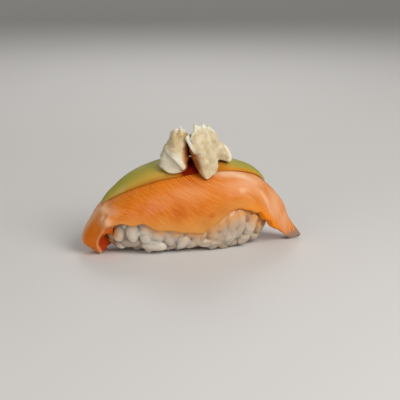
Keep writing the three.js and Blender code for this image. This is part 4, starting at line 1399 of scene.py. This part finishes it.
class NIGIRI_OT_rice(bpy.types.Operator):
    """Build the pressed rice: a core and the grains over it"""

    bl_idname = "nigiri.rice"
    bl_label = "Rice"

    def execute(self, context):
        settings = context.scene.nigiri_rice
        material = rice_material(settings)
        middle, axis, out, long, wide, tone = bed = grain_bed(settings)
        points, faces, core_tone = core_mesh(bed)
        points, distance = under_the_slice(points, 0.3)
        values = rice_values(points, distance, core_tone)
        dressed(finished_piece("rice_core", points, faces, values, material), "rice")
        points, faces = grain_points(middle, axis, out, long, wide)
        tone = np.repeat(tone, points.shape[1])
        points = points.reshape(-1, 3)
        points, distance = under_the_slice(points)
        points[:, 2] = np.maximum(points[:, 2], 0)
        values = rice_values(points, distance, tone)
        dressed(finished_piece("rice_grains", points, faces, values, material), "rice")
        return {"FINISHED"}


class NIGIRI_OT_salmon(bpy.types.Operator):
    """Build the slice of raw salmon that is draped over the rice"""

    bl_idname = "nigiri.salmon"
    bl_label = "Salmon"

    def execute(self, context):
        settings = context.scene.nigiri_salmon
        piece = finished_piece("salmon", *salmon_mesh(settings), salmon_material(settings))
        dressed(piece, "salmon_slice")
        return {"FINISHED"}


class NIGIRI_OT_avocado(bpy.types.Operator):
    """Build the wedge of avocado along the top"""

    bl_idname = "nigiri.avocado"
    bl_label = "Avocado"

    def execute(self, context):
        settings = context.scene.nigiri_avocado
        piece = finished_piece("avocado", *avocado_mesh(), avocado_material(settings))
        dressed(piece, "avocado_slice")
        return {"FINISHED"}


class NIGIRI_OT_ginger(bpy.types.Operator):
    """Build the two gathered slices of pickled ginger"""

    bl_idname = "nigiri.ginger"
    bl_label = "Ginger"

    def execute(self, context):
        settings = context.scene.nigiri_ginger
        material = ginger_material(settings)
        for name, slice_, seed in (("ginger_left", GINGER_LEFT, 41), ("ginger_right", GINGER_RIGHT, 51)):
            piece = finished_piece("pickled_" + name, *ginger_mesh(slice_, settings, seed), material)
            dressed(piece, name)
        return {"FINISHED"}


TARGET = Vector((2.2, -1.4, 15.8)) * MM
LENS, SENSOR = 105.9, 36.0  # millimetres


def area_light(name, place, size, power, colour):
    """A square soft light at a place in metres, turned to the nigiri."""
    lamp = bpy.data.lights.new(name, "AREA")
    lamp.shape, lamp.size, lamp.energy, lamp.color = "SQUARE", size, power, colour
    light = bpy.data.objects.new(name, lamp)
    light.location = place
    light.rotation_mode = "QUATERNION"
    light.rotation_quaternion = (TARGET - light.location).to_track_quat("-Z", "Y")
    bpy.context.scene.collection.objects.link(light)


# Each light's place and size in metres, its power as a share of the main light's, and its colour.
LIGHTS = {
    "key_light": ((0.26, -0.42, 0.40), 0.40, 1.0, (1.0, 0.97, 0.93)),
    "back_light": ((0.10, 0.42, 0.34), 0.20, 0.2, (1.0, 0.99, 0.97)),
    "fill_light": ((-0.46, -0.36, 0.20), 0.5, 0.25, (1.0, 0.97, 0.94)),
}

SKY = {"Color": (1.0, 0.98, 0.95, 1), "Strength": 0.2}

# Floor and backdrop in metres: half their width, where they start and bend, the bend's radius and the height.
BACKDROP = {"half": 1.8, "front": -1.2, "bend_from": 0.7, "radius": 0.5, "height": 1.6}


def backdrop_mesh():
    """Floor and backdrop in one: a profile drawn along X, flat, bent up on a quarter circle, then upright."""
    half, front, start, radius, height = BACKDROP.values()
    bend = np.linspace(0, np.pi / 2, 24)
    y = np.concatenate([[front], start + radius * np.sin(bend), [start + radius]])
    z = np.concatenate([[0.0], radius * (1 - np.cos(bend)), [height]])
    x = np.array([-half, half])
    grid = np.stack(np.broadcast_arrays(x[None, :], y[:, None], z[:, None]), -1)
    number = np.arange(grid.shape[0] * 2).reshape(-1, 2)
    faces = np.stack([number[:-1, 0], number[:-1, 1], number[1:, 1], number[1:, 0]], -1)
    return grid.reshape(-1, 3), faces


class NIGIRI_OT_stage(bpy.types.Operator):
    """Build the floor, the backdrop, the lights and the camera"""

    bl_idname = "nigiri.stage"
    bl_label = "Stage"

    def execute(self, context):
        settings = context.scene.nigiri_stage
        scene = context.scene
        points, faces = backdrop_mesh()
        mesh = bpy.data.meshes.new("floor")
        mesh.from_pydata(points.tolist(), [], faces.tolist())
        mesh.polygons.foreach_set("use_smooth", np.ones(len(faces), bool))
        floor = bpy.data.objects.new("floor", mesh)
        scene.collection.objects.link(floor)
        material, graph, shader = new_material("floor_paint", settings.floor, {"Roughness": 0.8})
        patches = {"Vector": graph.place(), "Scale": 3.0, "Low": 0.2, "High": 0.8}
        shade = graph.group("Mottle", patches)["Mask"]
        pale = [min(1.0, c * 1.03) for c in settings.floor]
        graph.tree.links.new(graph.mix(shade, settings.floor, pale), shader.inputs["Base Color"])
        mesh.materials.append(material)

        for name, (place, size, share, colour) in LIGHTS.items():
            area_light(name, place, size, settings.light * share, colour)
        world = bpy.data.worlds.new("studio")
        world.use_nodes = True
        for name, value in SKY.items():
            world.node_tree.nodes["Background"].inputs[name].default_value = value
        scene.world = world
        scene.view_settings.view_transform = "Standard"

        a, e = settings.azimuth, settings.elevation
        back = Vector((np.sin(a) * np.cos(e), -np.cos(a) * np.cos(e), np.sin(e)))
        lens = bpy.data.cameras.new("camera")
        lens.lens, lens.sensor_width = LENS, SENSOR
        lens.clip_start, lens.clip_end = 0.01, 20.0
        camera = bpy.data.objects.new("camera", lens)
        camera.location = TARGET + back * settings.distance
        camera.rotation_mode = "QUATERNION"
        camera.rotation_quaternion = (-back).to_track_quat("-Z", "Y")
        scene.collection.objects.link(camera)
        scene.camera = camera
        return {"FINISHED"}


class NIGIRI_PT_panel(bpy.types.Panel):
    """Lists the pieces of the nigiri with their sizes and colours"""

    bl_idname = "NIGIRI_PT_panel"
    bl_label = "Salmon nigiri"
    bl_space_type = "VIEW_3D"
    bl_region_type = "UI"
    bl_category = "Nigiri"

    def draw(self, context):
        for key, (operator, group) in PARTS.items():
            box = self.layout.box()
            box.operator(operator.bl_idname)
            settings = getattr(context.scene, "nigiri_" + key)
            for name in group.__annotations__:
                box.prop(settings, name)


PARTS = {
    "rice": (NIGIRI_OT_rice, RiceSettings),
    "salmon": (NIGIRI_OT_salmon, SalmonSettings),
    "avocado": (NIGIRI_OT_avocado, AvocadoSettings),
    "ginger": (NIGIRI_OT_ginger, GingerSettings),
    "stage": (NIGIRI_OT_stage, StageSettings),
}


def register():
    """Register every class, and hang each group of settings on the scene."""
    for key, (operator, group) in PARTS.items():
        bpy.utils.register_class(group)
        bpy.utils.register_class(operator)
        setattr(bpy.types.Scene, "nigiri_" + key, bpy.props.PointerProperty(type=group))
    bpy.utils.register_class(NIGIRI_PT_panel)


def unregister():
    """Take back what `register` did."""
    bpy.utils.unregister_class(NIGIRI_PT_panel)
    for key, (operator, group) in reversed(PARTS.items()):
        delattr(bpy.types.Scene, "nigiri_" + key)
        bpy.utils.unregister_class(operator)
        bpy.utils.unregister_class(group)


def main():
    """Build everything in order."""
    register()
    bpy.ops.nigiri.rice()
    bpy.ops.nigiri.salmon()
    bpy.ops.nigiri.avocado()
    bpy.ops.nigiri.ginger()
    bpy.ops.nigiri.stage()


if __name__ == "__main__":
    main()
